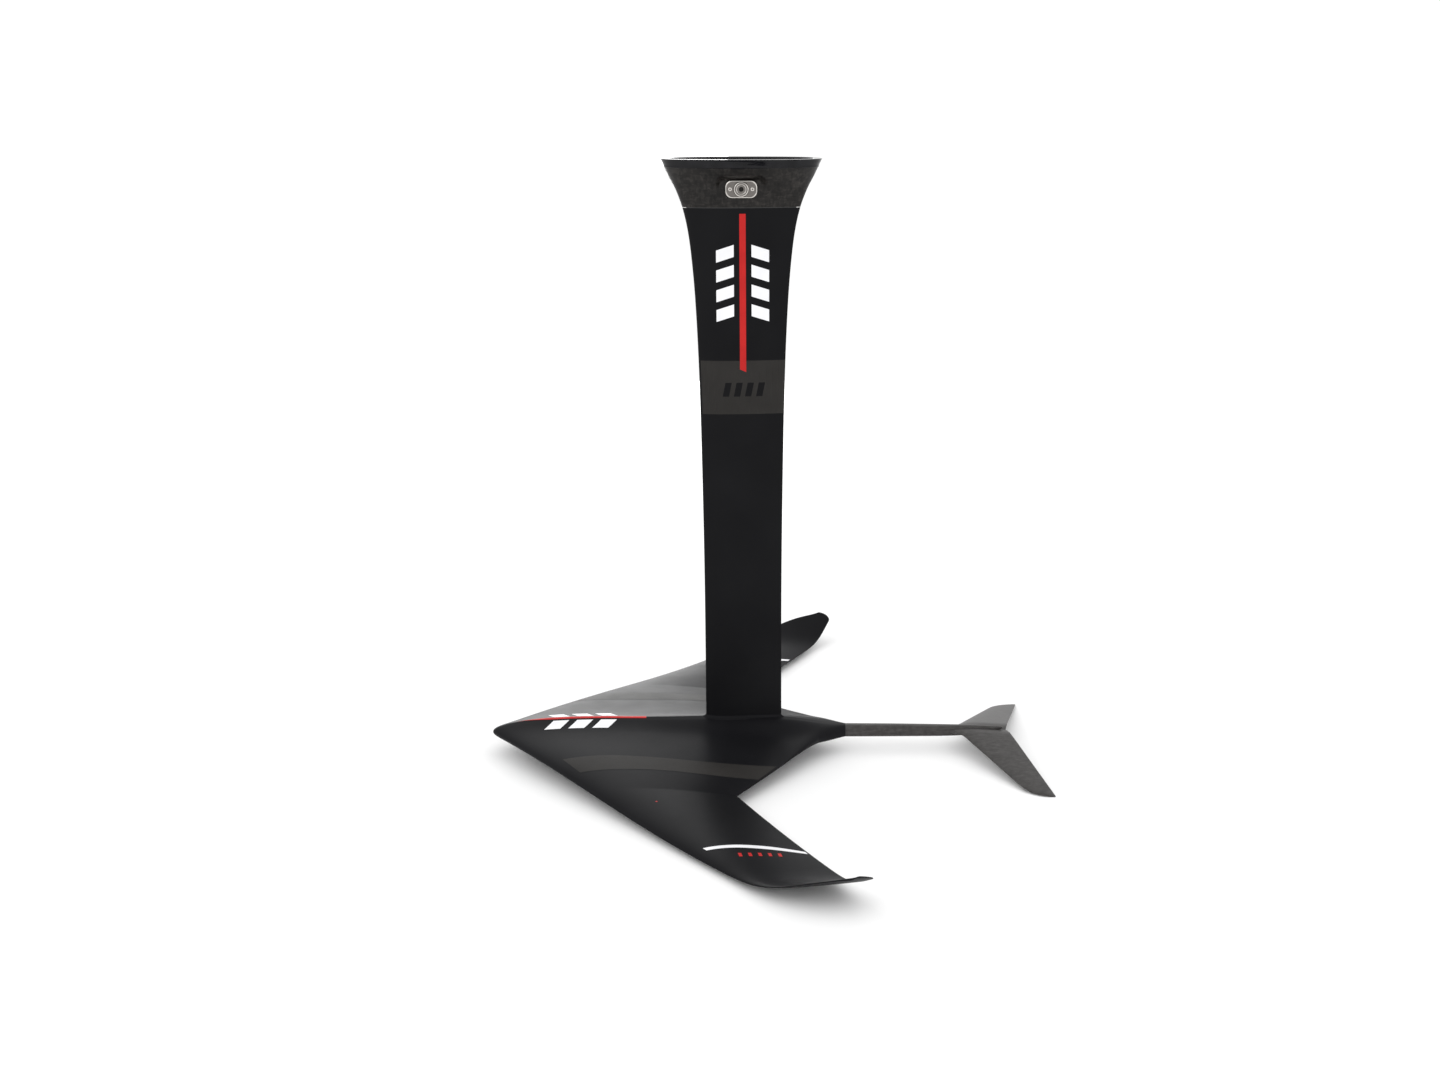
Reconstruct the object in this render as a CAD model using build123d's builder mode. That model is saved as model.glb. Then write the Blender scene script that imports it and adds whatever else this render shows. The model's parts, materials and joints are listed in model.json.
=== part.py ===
"""Hydrofoil: a carbon mast with a flared head, a ray-shaped front wing and a tail boom with its stabiliser.

Frame: millimetres, +Z up, +X aft, +Y to the side.  The origin is the centre of the head's top face,
where the board adapter sits, so the whole foil hangs below it.
"""

import math
import os

from build123d import *

os.makedirs("parts", exist_ok=True)

# ---- mast and head ------------------------------------------------------------------------------
MAST_STATIONS = (            # depth below the board face, half chord, half thickness, share of oval
    (0.0, 113.5, 50.0, 1.0),
    (12.0, 107.7, 43.0, 1.0),
    (25.0, 101.5, 34.5, 0.9),
    (41.0, 93.2, 25.5, 0.75),
    (67.0, 83.3, 16.8, 0.4),
    (99.0, 76.0, 12.6, 0.15),
    (141.0, 70.7, 10.6, 0.0),
    (198.0, 66.3, 9.4, 0.0),
    (284.0, 62.5, 8.5, 0.0),
    (400.0, 59.7, 7.8, 0.0),
    (600.0, 57.3, 7.4, 0.0),
    (840.0, 57.0, 7.3, 0.0),
)
RIM_LEVELS = (4.0, 8.0)
COLLAR_LEVELS = (18.0, 25.0, 33.0, 41.0, 50.0, 58.0)
BLADE_LEVELS = (80.0, 99.0, 120.0, 141.0, 170.0, 198.0, 240.0, 284.0, 340.0, 400.0, 500.0, 600.0, 720.0)
OVAL_POWER = 2.5
OUTLINE_POINTS = 12          # points along each side of a foil section
MAST_INSET = (1.6, 8.0)      # how far an inner section draws back at nose and tail, per unit of inset
EDGE_HALF = 0.6              # half thickness of every blunt trailing edge
SKIN = 1.8
BOND = 0.05                  # gap between a core and its skin
OUTSIDE = 60.0               # a cut this long leaves the part on any side

RIM_HEIGHT = 12.0
COLLAR_DEPTH = 67.0          # board face to the seam with the mast
SEAM = 0.8
SPIGOT_DEPTH = 40.0
SPIGOT_LEVELS = (80.0, 95.0)
SOCKET_MOUTH = (101.0, 38.0)  # half length and half width of the oval
SOCKET_FLOOR = (84.0, 25.0)
SOCKET_DEPTH = 22.0

BARREL_DEPTH = 41.5
BARREL_RADIUS = 12.0
BARREL_END_RADIUS = 10.5
BARREL_END = 24.2            # distance of each end from the mid plane
BARREL_PLAY = 0.06
BARREL_END_PLAY = 0.1        # between the thick middle and each plate
BARREL_CHAMFER = 0.8
KEY_RADIUS = 2.9
KEY_DEPTH = 6.0
BOLT_TAP_RADIUS = 4.25       # M10
BOLT_HOLE_RADIUS = 5.5
BOLT_WELL_DEPTH = 60.0
PLATE = (44.5, 24.2, 3.0)
PLATE_CORNER = 9.0
PLATE_SEAT = 20.0            # distance of the plate's seat from the mid plane
PLATE_WELL = (66.0, 33.0)
PLATE_WELL_CORNER = 12.0
PLATE_WELL_DROP = 1.0        # its middle lies this much below the nut's
PIN_X = 15.6
PIN_RADIUS = 2.9
PIN_INNER_END = 14.0          # each pin starts this far from the mid plane

# ---- mast foot ----------------------------------------------------------------------------------
SADDLE_SEAT = -832.4         # where the mast's skin stops in the wing's rebate
TENON = (100.0, 11.4, 18.4)
TENON_CORNER = 5.0
FOOT_BLOCK_TOP = -775.0
WEB = 3.0
WEB_X = -12.0
FIT = 0.15
REBATE_FIT = 0.3
REBATE_HEIGHT = 30.0         # the rebate's cut runs up past the saddle
THREAD_RELIEF = 4.0

# ---- front wing ---------------------------------------------------------------------------------
HALF_SPAN = 536.0
NOSE_X = -381.0
NOSE_ROUND = 4.0
SWEEP = 0.819                # leading edge, aft per outboard
KINK = (212.0, -11.0)        # trailing-edge notch: outboard, aft
OUTER_SWEEP = 0.545
INNER_SWEEP = 0.72
TIP_START = 440.0
TIP_RAKE = 86.0
TIP_RAKE_POWER = 4.2
TIP_CORNER = (24.0, 15.0)
ROOT_Z = -852.0
DROOP = 26.0
DROOP_SPAN = 400.0
TIP_RISE = 38.0
TIP_RISE_POWER = 4.0
EDGE_DROOP = 24.0            # droop of the trailing edge
EDGE_DROOP_POWER = 1.1
EDGE_RISE = (478.0, 12.0, 0.70)  # trailing edge: where it turns up, how softly, and its slope after
UPPER_SHARE = (0.030, 0.028)  # height over chord at the root, and what is added by the notch
LOWER_SHARE = 0.040
THIN_START = 380.0
THIN_LOSS = 0.55
RIDGE = (7.0, 28.0)          # height on the centre line, and distance over which it fades
LEAST_HEIGHT = 0.9
SPINE = (8.0, 22.0)          # spine and keel: half width at full height, and width of the fade
SADDLE_RISE = (12.0, -180.0, 255.0)  # height, where it starts, and its length
SADDLE_FALL = (4.7, 60.0, 94.0)
KEEL_RISE = (11.0, -280.0, 230.0)
KEEL_FALL = (0.4, 50.0, 100.0)
WING_INSET = (2.4, 7.0)      # as MAST_INSET
NECK_X = 118.0
NECK_SIDE = 42.0
NECK_STATIONS = (104.0, 118.0, 126.0, 134.0, 143.0)
NECK_HALF = 9.6              # half width at the joint
NECK_FLARE = (22.0, 2.2)     # extra half width ahead, and the power of its curve
NECK_CORNER = (1.35, 1.45)   # corner power ahead, and what is added by the joint
CORE_STATIONS = (0.0, 6.0, 14.0, 26.0, 42.0, 70.0, 110.0, 160.0, 212.0, 265.0, 320.0, 375.0, 425.0)
TIP_STATIONS = (450.0, 470.0, 486.0, 500.0, 511.0, 520.0, 527.0, 532.0, 535.5)
KEEL_SIDE = 24.0
KEEL_ENDS = (-120.0, 112.0)
WING_WEB = 4.0
WING_WEB_LENGTH = 720.0
WING_WEB_ANGLE = -22.6
WEB_ROOT = (-150.0, 24.0)
TALL = 100.0                 # a block this tall holds the whole wing's thickness

# ---- tail ---------------------------------------------------------------------------------------
JOINT_X = 154.4
SEAL = 0.6
RING_POINTS = 20
BOOM_STATIONS = (            # aft, half width, top, bottom, corner power
    (155.0, 9.6, -844.1, -863.2, 2.8),
    (235.0, 9.0, -845.2, -863.6, 2.8),
    (318.0, 8.2, -847.0, -863.6, 2.6),
    (350.0, 6.8, -847.6, -861.4, 2.4),
    (392.0, 2.4, -850.0, -854.4, 2.2),
)
TAIL_ROOT = (321.0, 400.5)
TAIL_SWEEP = (0.49, 0.241)
TAIL_Z = -851.6
TAIL_ANHEDRAL = 0.184
TAIL_TIP_START = 150.0
TAIL_HALF_SPAN = 186.5
TAIL_RAKE = 30.6
TAIL_SHARE = 0.045           # half thickness over chord
TAIL_LEAST_HALF = 0.6
TAIL_EDGE_HALF = 0.4
TAIL_STATIONS = (0.0, 20.0, 50.0, 85.0, 120.0, 150.0, 166.0, 176.0, 182.0, 186.0)
TONGUE = (62.0, 11.0, 8.6)
TONGUE_Z = -853.4
TONGUE_THREAD = 2.8
TONGUE_ROOT = 2.0            # how far the tongue reaches into the boom
SLEEVE = 1.2
SLEEVE_END = 2.0             # how far the sleeve's room reaches past the tongue
SEAL_FIT = 0.1

# ---- screws: radius of the shank, of the head, of the cup round it and of the threaded bush -------
MAST_SCREW = (3.0, 6.0, 9.0, 4.4)
TAIL_SCREW = (2.5, 4.6, 6.6, 3.6)
MAST_SCREW_X = (-32.0, 32.0)
TAIL_SCREW_X = (108.0, 136.0)
TIP_GAP = 2.0                # between a screw's tip and the end of its thread
KEY_SHARE = (0.62, 0.7)      # radius and depth of the key hole over the shank's radius
CUP_FLOOR = 0.6
CUP_LIP = 0.6
HEAD_SUNK = 1.0
HEAD_WELL = 6.0              # the recess runs this far below the head's face
GLUE = 0.02
CUP_PLAY = 0.1
SHANK_PLAY = 0.3


# ---- shared shapes ------------------------------------------------------------------------------
def smooth(value):
    """Rises from 0 to 1 as value does, with level ends."""
    held = min(max(value, 0.0), 1.0)
    return held * held * (3.0 - 2.0 * held)


def foil_height(f):
    """Half thickness of a foil along its chord, with its highest point scaled to 1."""
    f = min(max(f, 0.0), 1.0)
    raw = 0.2969 * math.sqrt(f) - 0.1260 * f - 0.3516 * f**2 + 0.2843 * f**3 - 0.1036 * f**4
    return raw / 0.1


def oval_height(f):
    """Half width of an oval from one end to the other."""
    return max(0.0, 1.0 - abs(2.0 * f - 1.0) ** OVAL_POWER) ** (1.0 / OVAL_POWER)


def spread(count):
    """Numbers from 0 to 1, close together at both ends."""
    return [0.5 - 0.5 * math.cos(math.pi * i / (count - 1)) for i in range(count)]


def post(x, radius, low, high, mode=Mode.ADD):
    """An upright cylinder on the centre plane."""
    with Locations((x, 0, (low + high) / 2)):
        Cylinder(radius, high - low, mode=mode)


def bar_across(x, z, radius, length, mode=Mode.ADD):
    """A round bar along Y, centred on the middle plane."""
    with Locations((x, 0, z)):
        Cylinder(radius, length, rotation=(90, 0, 0), mode=mode)


# ---- mast ---------------------------------------------------------------------------------------
def mast_outline(half_chord, half_thick, oval, inset):
    """Points round the mast at one height, from the blunt edge by way of the nose and back."""
    nose = -half_chord + MAST_INSET[0] * inset
    tail = half_chord - MAST_INSET[1] * inset
    side = []
    for f in spread(OUTLINE_POINTS):
        shape = (1.0 - oval) * foil_height(f) + oval * oval_height(f)
        side.append((nose + (tail - nose) * f, (half_thick - inset) * shape + EDGE_HALF * f))
    port = [(x, -y) for x, y in side]
    return side[::-1] + port[1:]


def mast_size(depth):
    """Half chord, half thickness and share of oval at a depth, smooth through the stations."""
    last = len(MAST_STATIONS) - 1
    i = max(j for j in range(last) if MAST_STATIONS[j][0] <= depth)
    low, high = MAST_STATIONS[i], MAST_STATIONS[i + 1]
    before, after = MAST_STATIONS[max(i - 1, 0)], MAST_STATIONS[min(i + 2, last)]
    width = high[0] - low[0]
    u = (depth - low[0]) / width
    sizes = []
    for k in (1, 2, 3):
        rise_in = width * (high[k] - before[k]) / (high[0] - before[0])
        rise_out = width * (after[k] - low[k]) / (after[0] - low[0])
        ends = low[k] * (2 * u**3 - 3 * u**2 + 1) + high[k] * (3 * u**2 - 2 * u**3)
        sizes.append(ends + rise_in * (u**3 - 2 * u**2 + u) + rise_out * (u**3 - u**2))
    return sizes


def mast_band(top, low, levels, inset):
    """The mast between two depths as one solid, or the room a set distance inside it."""
    with BuildPart() as band:
        for depth in (top, *levels, low):
            outline = mast_outline(*mast_size(depth), inset)
            with BuildSketch(Plane.XY.offset(-depth)):
                with BuildLine():
                    Spline(*outline)
                    Line(outline[-1], outline[0])
                make_face()
        loft(ruled=True)
    return band.part


# ---- wing surface -------------------------------------------------------------------------------
def leading_x(s):
    line = NOSE_X - NOSE_ROUND + math.hypot(NOSE_ROUND, SWEEP * s)
    u = max(0.0, (s - TIP_START) / (HALF_SPAN - TIP_START))
    return line + TIP_RAKE * (1.0 - math.sqrt(max(0.0, 1.0 - u**TIP_RAKE_POWER)))


def trailing_x(s):
    corner = HALF_SPAN - TIP_CORNER[1]
    if s < NECK_SIDE:
        edge = KINK[1] + INNER_SWEEP * (KINK[0] - NECK_SIDE)
        return JOINT_X - (JOINT_X - edge) * (s / NECK_SIDE) ** 2
    if s < KINK[0]:
        return KINK[1] + INNER_SWEEP * (KINK[0] - s)
    if s < corner:
        return KINK[1] + OUTER_SWEEP * (s - KINK[0])
    u = (s - corner) / TIP_CORNER[1]
    aft = KINK[1] + OUTER_SWEEP * (corner - KINK[0])
    return aft - TIP_CORNER[0] * (1.0 - math.sqrt(max(0.0, 1.0 - u * u)))


def leading_z(s):
    droop = DROOP * math.sin(math.pi / 2 * min(s / DROOP_SPAN, 1.0)) ** 2
    rise = TIP_RISE * max(0.0, (s - DROOP_SPAN) / (HALF_SPAN - DROOP_SPAN)) ** TIP_RISE_POWER
    return ROOT_Z - droop + rise


def trailing_z(s):
    turn, softness, incline = EDGE_RISE
    droop = EDGE_DROOP * math.sin(math.pi / 2 * min(s / DROOP_SPAN, 1.0)) ** EDGE_DROOP_POWER
    rise = incline * softness * math.log1p(math.exp((s - turn) / softness))
    return ROOT_Z - droop + rise


def thickness(s, upper):
    """Greatest height of one face above the chord at one station."""
    share = UPPER_SHARE[0] + UPPER_SHARE[1] * min(s / KINK[0], 1.0) ** 2 if upper else LOWER_SHARE
    thin = 1.0 - THIN_LOSS * smooth((s - THIN_START) / (HALF_SPAN - THIN_START))
    ridge = RIDGE[0] * math.exp(-s / RIDGE[1]) if upper else 0.0
    return max(share * (trailing_x(s) - leading_x(s)) * thin + ridge, LEAST_HEIGHT)


def slope(x, shape):
    """A smooth rise along X, given as its height, its start and its length."""
    height, start, length = shape
    return height * smooth((x - start) / length)


def saddle(x, s, upper):
    """The raised spine that carries the mast, and the keel below it that holds the screws."""
    across = math.exp(-((max(s - SPINE[0], 0.0) / SPINE[1]) ** 2))
    if upper:
        return (slope(x, SADDLE_RISE) - slope(x, SADDLE_FALL)) * across
    return (slope(x, KEEL_RISE) - slope(x, KEEL_FALL)) * across


def wing_point(x, s, upper, inset):
    """A point on the wing's upper or lower face, or a set distance inside it."""
    start = leading_x(s) + WING_INSET[0] * inset
    end = trailing_x(s) - WING_INSET[1] * inset
    f = (x - start) / (end - start)
    rise = (thickness(s, upper) - inset) * foil_height(f) + EDGE_HALF * f + saddle(x, s, upper)
    share = (x - leading_x(s)) / (trailing_x(s) - leading_x(s))
    middle = leading_z(s) + (trailing_z(s) - leading_z(s)) * share
    return (x, middle + rise if upper else middle - rise)


def wing_solid(stations, inset):
    """The wing from one end station to the other, or the room a set distance inside it."""
    both_sides = [-s for s in stations[:0:-1]] + list(stations)
    with BuildPart() as wing:
        for y in both_sides:
            s = abs(y)
            start = leading_x(s) + WING_INSET[0] * inset
            end = min(trailing_x(s), NECK_X) - WING_INSET[1] * inset
            xs = [start + (end - start) * f for f in spread(OUTLINE_POINTS)]
            upper = [wing_point(x, s, True, inset) for x in xs]
            lower = [wing_point(x, s, False, inset) for x in xs]
            with BuildSketch(Plane.XZ.offset(y)):
                with BuildLine():
                    Spline(*upper[::-1], *lower[1:])
                    Line(lower[-1], upper[-1])
                make_face()
        loft(ruled=True)
    return wing.part


def pod_ring(half_width, top, bottom, power):
    """Points round a squared-off oval on a plane across the boom."""
    middle = (top + bottom) / 2
    half_height = (top - bottom) / 2
    points = []
    for i in range(RING_POINTS):
        angle = 2 * math.pi * i / RING_POINTS
        c, s = math.cos(angle), math.sin(angle)
        y = half_width * math.copysign(abs(c) ** (2 / power), c)
        z = middle + half_height * math.copysign(abs(s) ** (2 / power), s)
        points.append((y, z))
    return points


def pod(stations):
    """A solid drawn through squared-off ovals along X."""
    with BuildPart() as body:
        for x, half_width, top, bottom, power in stations:
            with BuildSketch(Plane.YZ.offset(x)):
                with BuildLine():
                    Spline(*pod_ring(half_width, top, bottom, power), periodic=True)
                make_face()
        loft(ruled=True)
    return body.part


def neck_station(x):
    """The neck between the wing and the boom joint: wide and thin ahead, nearly round at the joint."""
    t = (x - NECK_X) / (JOINT_X - NECK_X)
    half_width = NECK_HALF + NECK_FLARE[0] * (1.0 - t) ** NECK_FLARE[1] if t < 1.0 else NECK_HALF
    top = wing_point(x, 0.0, True, 0.0)[1]
    bottom = wing_point(x, 0.0, False, 0.0)[1]
    return (x, half_width, top, bottom, NECK_CORNER[0] + NECK_CORNER[1] * smooth(t))


# ---- fasteners ----------------------------------------------------------------------------------
def belly(x):
    """Height of the wing's underside on the centre line."""
    return wing_point(x, 0.0, False, 0.0)[1]


def screw(x, size, tip):
    """A countersunk screw from below: its head lies in the cup and its shank runs up to the tip."""
    shank, head, _, _ = size
    face = belly(x) + HEAD_SUNK
    with Locations((x, 0, face + (head - shank) / 2)):
        Cone(head, shank, head - shank)
    post(x, shank, face + head - shank, tip)
    post(x, shank * KEY_SHARE[0], face, face + shank * KEY_SHARE[1], Mode.SUBTRACT)


def cup(x, size):
    """The ring that seats a countersunk head in the carbon."""
    shank, head, radius, _ = size
    face = belly(x) + HEAD_SUNK
    top = face + head - shank + CUP_FLOOR
    post(x, radius, face - CUP_LIP, top)
    post(x, shank + CUP_PLAY, face - 1, top + 1, Mode.SUBTRACT)
    post(x, head + CUP_PLAY, face - 1, face, Mode.SUBTRACT)
    with Locations((x, 0, face + (head - shank) / 2)):
        Cone(head + CUP_PLAY, shank + CUP_PLAY, head - shank, mode=Mode.SUBTRACT)


def screw_room(x, size, top):
    """The recess for a cup and the hole for its screw."""
    face = belly(x) + HEAD_SUNK
    shank, head, radius, _ = size
    post(x, radius + GLUE, face - HEAD_WELL, face + head - shank + CUP_FLOOR)
    post(x, shank + SHANK_PLAY, face, top)


def insert(x, size, low, high):
    """A threaded bush bonded in laminate."""
    post(x, size[3], low, high)
    post(x, size[0] + GLUE, low - 1, high + 1, Mode.SUBTRACT)


# ---- pieces of the mast -------------------------------------------------------------------------
seam_top = -COLLAR_DEPTH
seam_low = seam_top - SEAM
spigot_low = seam_low - SPIGOT_DEPTH
tenon_low = SADDLE_SEAT - TENON[2]

with BuildPart() as socket:
    for depth, size in ((SOCKET_DEPTH, SOCKET_FLOOR), (0.0, SOCKET_MOUTH)):
        rim_line = mast_outline(*size, 1.0, 0.0)
        with BuildSketch(Plane.XY.offset(-depth)):
            with BuildLine():
                Spline(*rim_line)
                Line(rim_line[-1], rim_line[0])
            make_face()
    loft(ruled=True)

with BuildPart() as head_rim:
    add(mast_band(0.0, RIM_HEIGHT, RIM_LEVELS, 0.0))
    add(socket.part, mode=Mode.SUBTRACT)
head_rim.part.label = "head_rim"

with BuildPart() as head_collar:
    add(mast_band(RIM_HEIGHT, COLLAR_DEPTH, COLLAR_LEVELS, 0.0))
    add(mast_band(COLLAR_DEPTH, -spigot_low, SPIGOT_LEVELS, SKIN + BOND))
    add(socket.part, mode=Mode.SUBTRACT)
    bar_across(0, -BARREL_DEPTH, BARREL_RADIUS + BARREL_PLAY, 2 * PLATE_SEAT, Mode.SUBTRACT)
    post(0, BOLT_HOLE_RADIUS, -BOLT_WELL_DEPTH, -SOCKET_DEPTH + 1, Mode.SUBTRACT)
    for x in (-PIN_X, PIN_X):
        bar_across(x, -BARREL_DEPTH, PIN_RADIUS, 2 * (PLATE_SEAT + PLATE[2]), Mode.SUBTRACT)
    for side in (-1, 1):
        with BuildSketch(Plane.XZ.offset(side * PLATE_SEAT)):
            with Locations((0, -BARREL_DEPTH - PLATE_WELL_DROP)):
                RectangleRounded(*PLATE_WELL, PLATE_WELL_CORNER)
        extrude(amount=side * OUTSIDE, mode=Mode.SUBTRACT)
head_collar.part.label = "head_collar"

with BuildPart() as collar_seam:
    add(mast_band(COLLAR_DEPTH, -seam_low, (), 0.0))
    add(mast_band(COLLAR_DEPTH, -seam_low, (), SKIN), mode=Mode.SUBTRACT)
collar_seam.part.label = "collar_seam"

with BuildPart() as lock_plate_near:
    with BuildSketch(Plane.XZ.offset(PLATE_SEAT)):
        with Locations((0, -BARREL_DEPTH)):
            RectangleRounded(PLATE[0], PLATE[1], PLATE_CORNER)
            Circle(BARREL_END_RADIUS + BARREL_PLAY, mode=Mode.SUBTRACT)
        with Locations((-PIN_X, -BARREL_DEPTH), (PIN_X, -BARREL_DEPTH)):
            Circle(PIN_RADIUS, mode=Mode.SUBTRACT)
    extrude(amount=PLATE[2])
lock_plate_near.part.label = "lock_plate_near"

with BuildPart() as lock_plate_far:
    mirror(lock_plate_near.part, about=Plane.XZ)
lock_plate_far.part.label = "lock_plate_far"

with BuildPart() as lock_pins:
    for x in (-PIN_X, PIN_X):
        bar_across(x, -BARREL_DEPTH, PIN_RADIUS, 2 * (PLATE_SEAT + PLATE[2]))
        bar_across(x, -BARREL_DEPTH, PIN_RADIUS + 1, 2 * PIN_INNER_END, Mode.SUBTRACT)
lock_pins.part.label = "lock_pins"

with BuildPart() as barrel_nut:
    bar_across(0, -BARREL_DEPTH, BARREL_END_RADIUS, 2 * BARREL_END)
    chamfer(barrel_nut.edges().filter_by(GeomType.CIRCLE), BARREL_CHAMFER)
    bar_across(0, -BARREL_DEPTH, BARREL_RADIUS, 2 * (PLATE_SEAT - BARREL_END_PLAY))
    post(0, BOLT_TAP_RADIUS, -BARREL_DEPTH - OUTSIDE, -BARREL_DEPTH + OUTSIDE, Mode.SUBTRACT)
    for side in (-1, 1):
        with Locations((0, side * BARREL_END, -BARREL_DEPTH)):
            Cylinder(KEY_RADIUS, 2 * KEY_DEPTH, rotation=(90, 0, 0), mode=Mode.SUBTRACT)
barrel_nut.part.label = "barrel_nut"

with BuildPart() as mast_skin:
    add(mast_band(-seam_low, -SADDLE_SEAT, BLADE_LEVELS, 0.0))
    add(mast_band(-seam_low, -SADDLE_SEAT, BLADE_LEVELS, SKIN), mode=Mode.SUBTRACT)
mast_skin.part.label = "mast_skin"

with BuildPart() as mast_core:
    add(mast_band(-spigot_low + BOND, -FOOT_BLOCK_TOP - BOND, BLADE_LEVELS[2:], SKIN + BOND))

with BuildPart() as mast_core_front:
    add(mast_core.part)
    split(bisect_by=Plane.YZ.offset(WEB_X - WEB / 2 - BOND), keep=Keep.BOTTOM)
mast_core_front.part.label = "mast_core_front"

with BuildPart() as mast_core_rear:
    add(mast_core.part)
    split(bisect_by=Plane.YZ.offset(WEB_X + WEB / 2 + BOND), keep=Keep.TOP)
mast_core_rear.part.label = "mast_core_rear"

with BuildPart() as mast_web:
    add(mast_core.part)
    split(bisect_by=Plane.YZ.offset(WEB_X - WEB / 2), keep=Keep.TOP)
    split(bisect_by=Plane.YZ.offset(WEB_X + WEB / 2), keep=Keep.BOTTOM)
mast_web.part.label = "mast_web"

with BuildPart() as mast_foot:
    add(mast_band(-FOOT_BLOCK_TOP, -SADDLE_SEAT, (), SKIN + BOND))
    with BuildSketch(Plane.XY.offset(tenon_low)):
        RectangleRounded(TENON[0], TENON[1], TENON_CORNER)
    extrude(amount=TENON[2])
    for x in MAST_SCREW_X:
        post(x, MAST_SCREW[3], tenon_low - 1, SADDLE_SEAT, Mode.SUBTRACT)
        post(x, MAST_SCREW[0] + CUP_PLAY, SADDLE_SEAT - 1, SADDLE_SEAT + THREAD_RELIEF, Mode.SUBTRACT)
mast_foot.part.label = "mast_foot"

with BuildPart() as mast_inserts:
    for x in MAST_SCREW_X:
        insert(x, MAST_SCREW, tenon_low, SADDLE_SEAT)
mast_inserts.part.label = "mast_inserts"

# ---- pieces of the front wing -------------------------------------------------------------------
wing_room = wing_solid(CORE_STATIONS, SKIN)
wing_fill = wing_solid(CORE_STATIONS, SKIN + BOND)
keel_middle = sum(KEEL_ENDS) / 2
keel_length = KEEL_ENDS[1] - KEEL_ENDS[0]

with BuildPart() as foot_room:
    _, foot_half_chord, foot_half_thick, _ = MAST_STATIONS[-1]
    foot_outline = mast_outline(foot_half_chord + REBATE_FIT, foot_half_thick + REBATE_FIT, 0.0, 0.0)
    with BuildSketch(Plane.XY.offset(SADDLE_SEAT)):
        with BuildLine():
            Spline(*foot_outline)
            Line(foot_outline[-1], foot_outline[0])
        make_face()
    extrude(amount=REBATE_HEIGHT)
    with BuildSketch(Plane.XY.offset(tenon_low - FIT)):
        RectangleRounded(TENON[0] + 2 * FIT, TENON[1] + 2 * FIT, TENON_CORNER + FIT)
    extrude(amount=TENON[2] + 2 * FIT)
    for x in MAST_SCREW_X:
        screw_room(x, MAST_SCREW, tenon_low)

with BuildPart() as sleeve_room:
    with Locations((JOINT_X - (TONGUE[0] + SLEEVE_END) / 2, 0, TONGUE_Z)):
        Box(TONGUE[0] + SLEEVE_END, TONGUE[1] + 2 * (SLEEVE + FIT), TONGUE[2] + 2 * (SLEEVE + FIT))

with BuildPart() as tail_room:
    add(sleeve_room.part)
    for x in TAIL_SCREW_X:
        screw_room(x, TAIL_SCREW, TONGUE_Z)

with BuildPart() as front_wing:
    add(wing_solid(CORE_STATIONS + TIP_STATIONS, 0.0))
    add(pod([neck_station(x) for x in (*NECK_STATIONS, JOINT_X)]))
    add(wing_room, mode=Mode.SUBTRACT)
    add(foot_room.part, mode=Mode.SUBTRACT)
    add(tail_room.part, mode=Mode.SUBTRACT)
front_wing.part.label = "front_wing"

with BuildPart() as wing_keel:
    add(wing_fill)
    with Locations((keel_middle, 0, ROOT_Z)):
        Box(keel_length, 2 * KEEL_SIDE, TALL, mode=Mode.INTERSECT)
    add(foot_room.part, mode=Mode.SUBTRACT)
    add(tail_room.part, mode=Mode.SUBTRACT)
wing_keel.part.label = "wing_keel"


def web_place():
    """Where the near side's shear web stands, turned to follow the sweep."""
    return Location((WEB_ROOT[0], -WEB_ROOT[1], ROOT_Z), (0, 0, -WING_WEB_ANGLE))


with BuildPart() as wing_web_near:
    add(wing_fill)
    with Locations(web_place()):
        Box(WING_WEB, WING_WEB_LENGTH, TALL, mode=Mode.INTERSECT)
    split(bisect_by=Plane.XZ.offset(KEEL_SIDE + BOND), keep=Keep.TOP)
wing_web_near.part.label = "wing_web_near"

with BuildPart() as wing_web_far:
    mirror(wing_web_near.part, about=Plane.XZ)
wing_web_far.part.label = "wing_web_far"

with BuildPart() as wing_core_near:
    add(wing_fill)
    split(bisect_by=Plane.XZ.offset(BOND), keep=Keep.TOP)
    with Locations((keel_middle, 0, ROOT_Z)):
        Box(keel_length + 2 * BOND, 2 * (KEEL_SIDE + BOND), TALL, mode=Mode.SUBTRACT)
    with Locations(web_place()):
        Box(WING_WEB + 2 * BOND, WING_WEB_LENGTH + 2 * BOND, TALL, mode=Mode.SUBTRACT)
wing_core_near.part.label = "wing_core_near"

with BuildPart() as wing_core_far:
    mirror(wing_core_near.part, about=Plane.XZ)
wing_core_far.part.label = "wing_core_far"

with BuildPart() as mast_screws:
    for x in MAST_SCREW_X:
        screw(x, MAST_SCREW, SADDLE_SEAT - TIP_GAP)
mast_screws.part.label = "mast_screws"

with BuildPart() as mast_cups:
    for x in MAST_SCREW_X:
        cup(x, MAST_SCREW)
mast_cups.part.label = "mast_cups"


# ---- pieces of the tail -------------------------------------------------------------------------
def tail_leading(s):
    u = max(0.0, (s - TAIL_TIP_START) / (TAIL_HALF_SPAN - TAIL_TIP_START))
    return TAIL_ROOT[0] + TAIL_SWEEP[0] * s + TAIL_RAKE * (1.0 - math.sqrt(max(0.0, 1.0 - u**3)))


def tail_trailing(s):
    return TAIL_ROOT[1] + TAIL_SWEEP[1] * s


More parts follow.
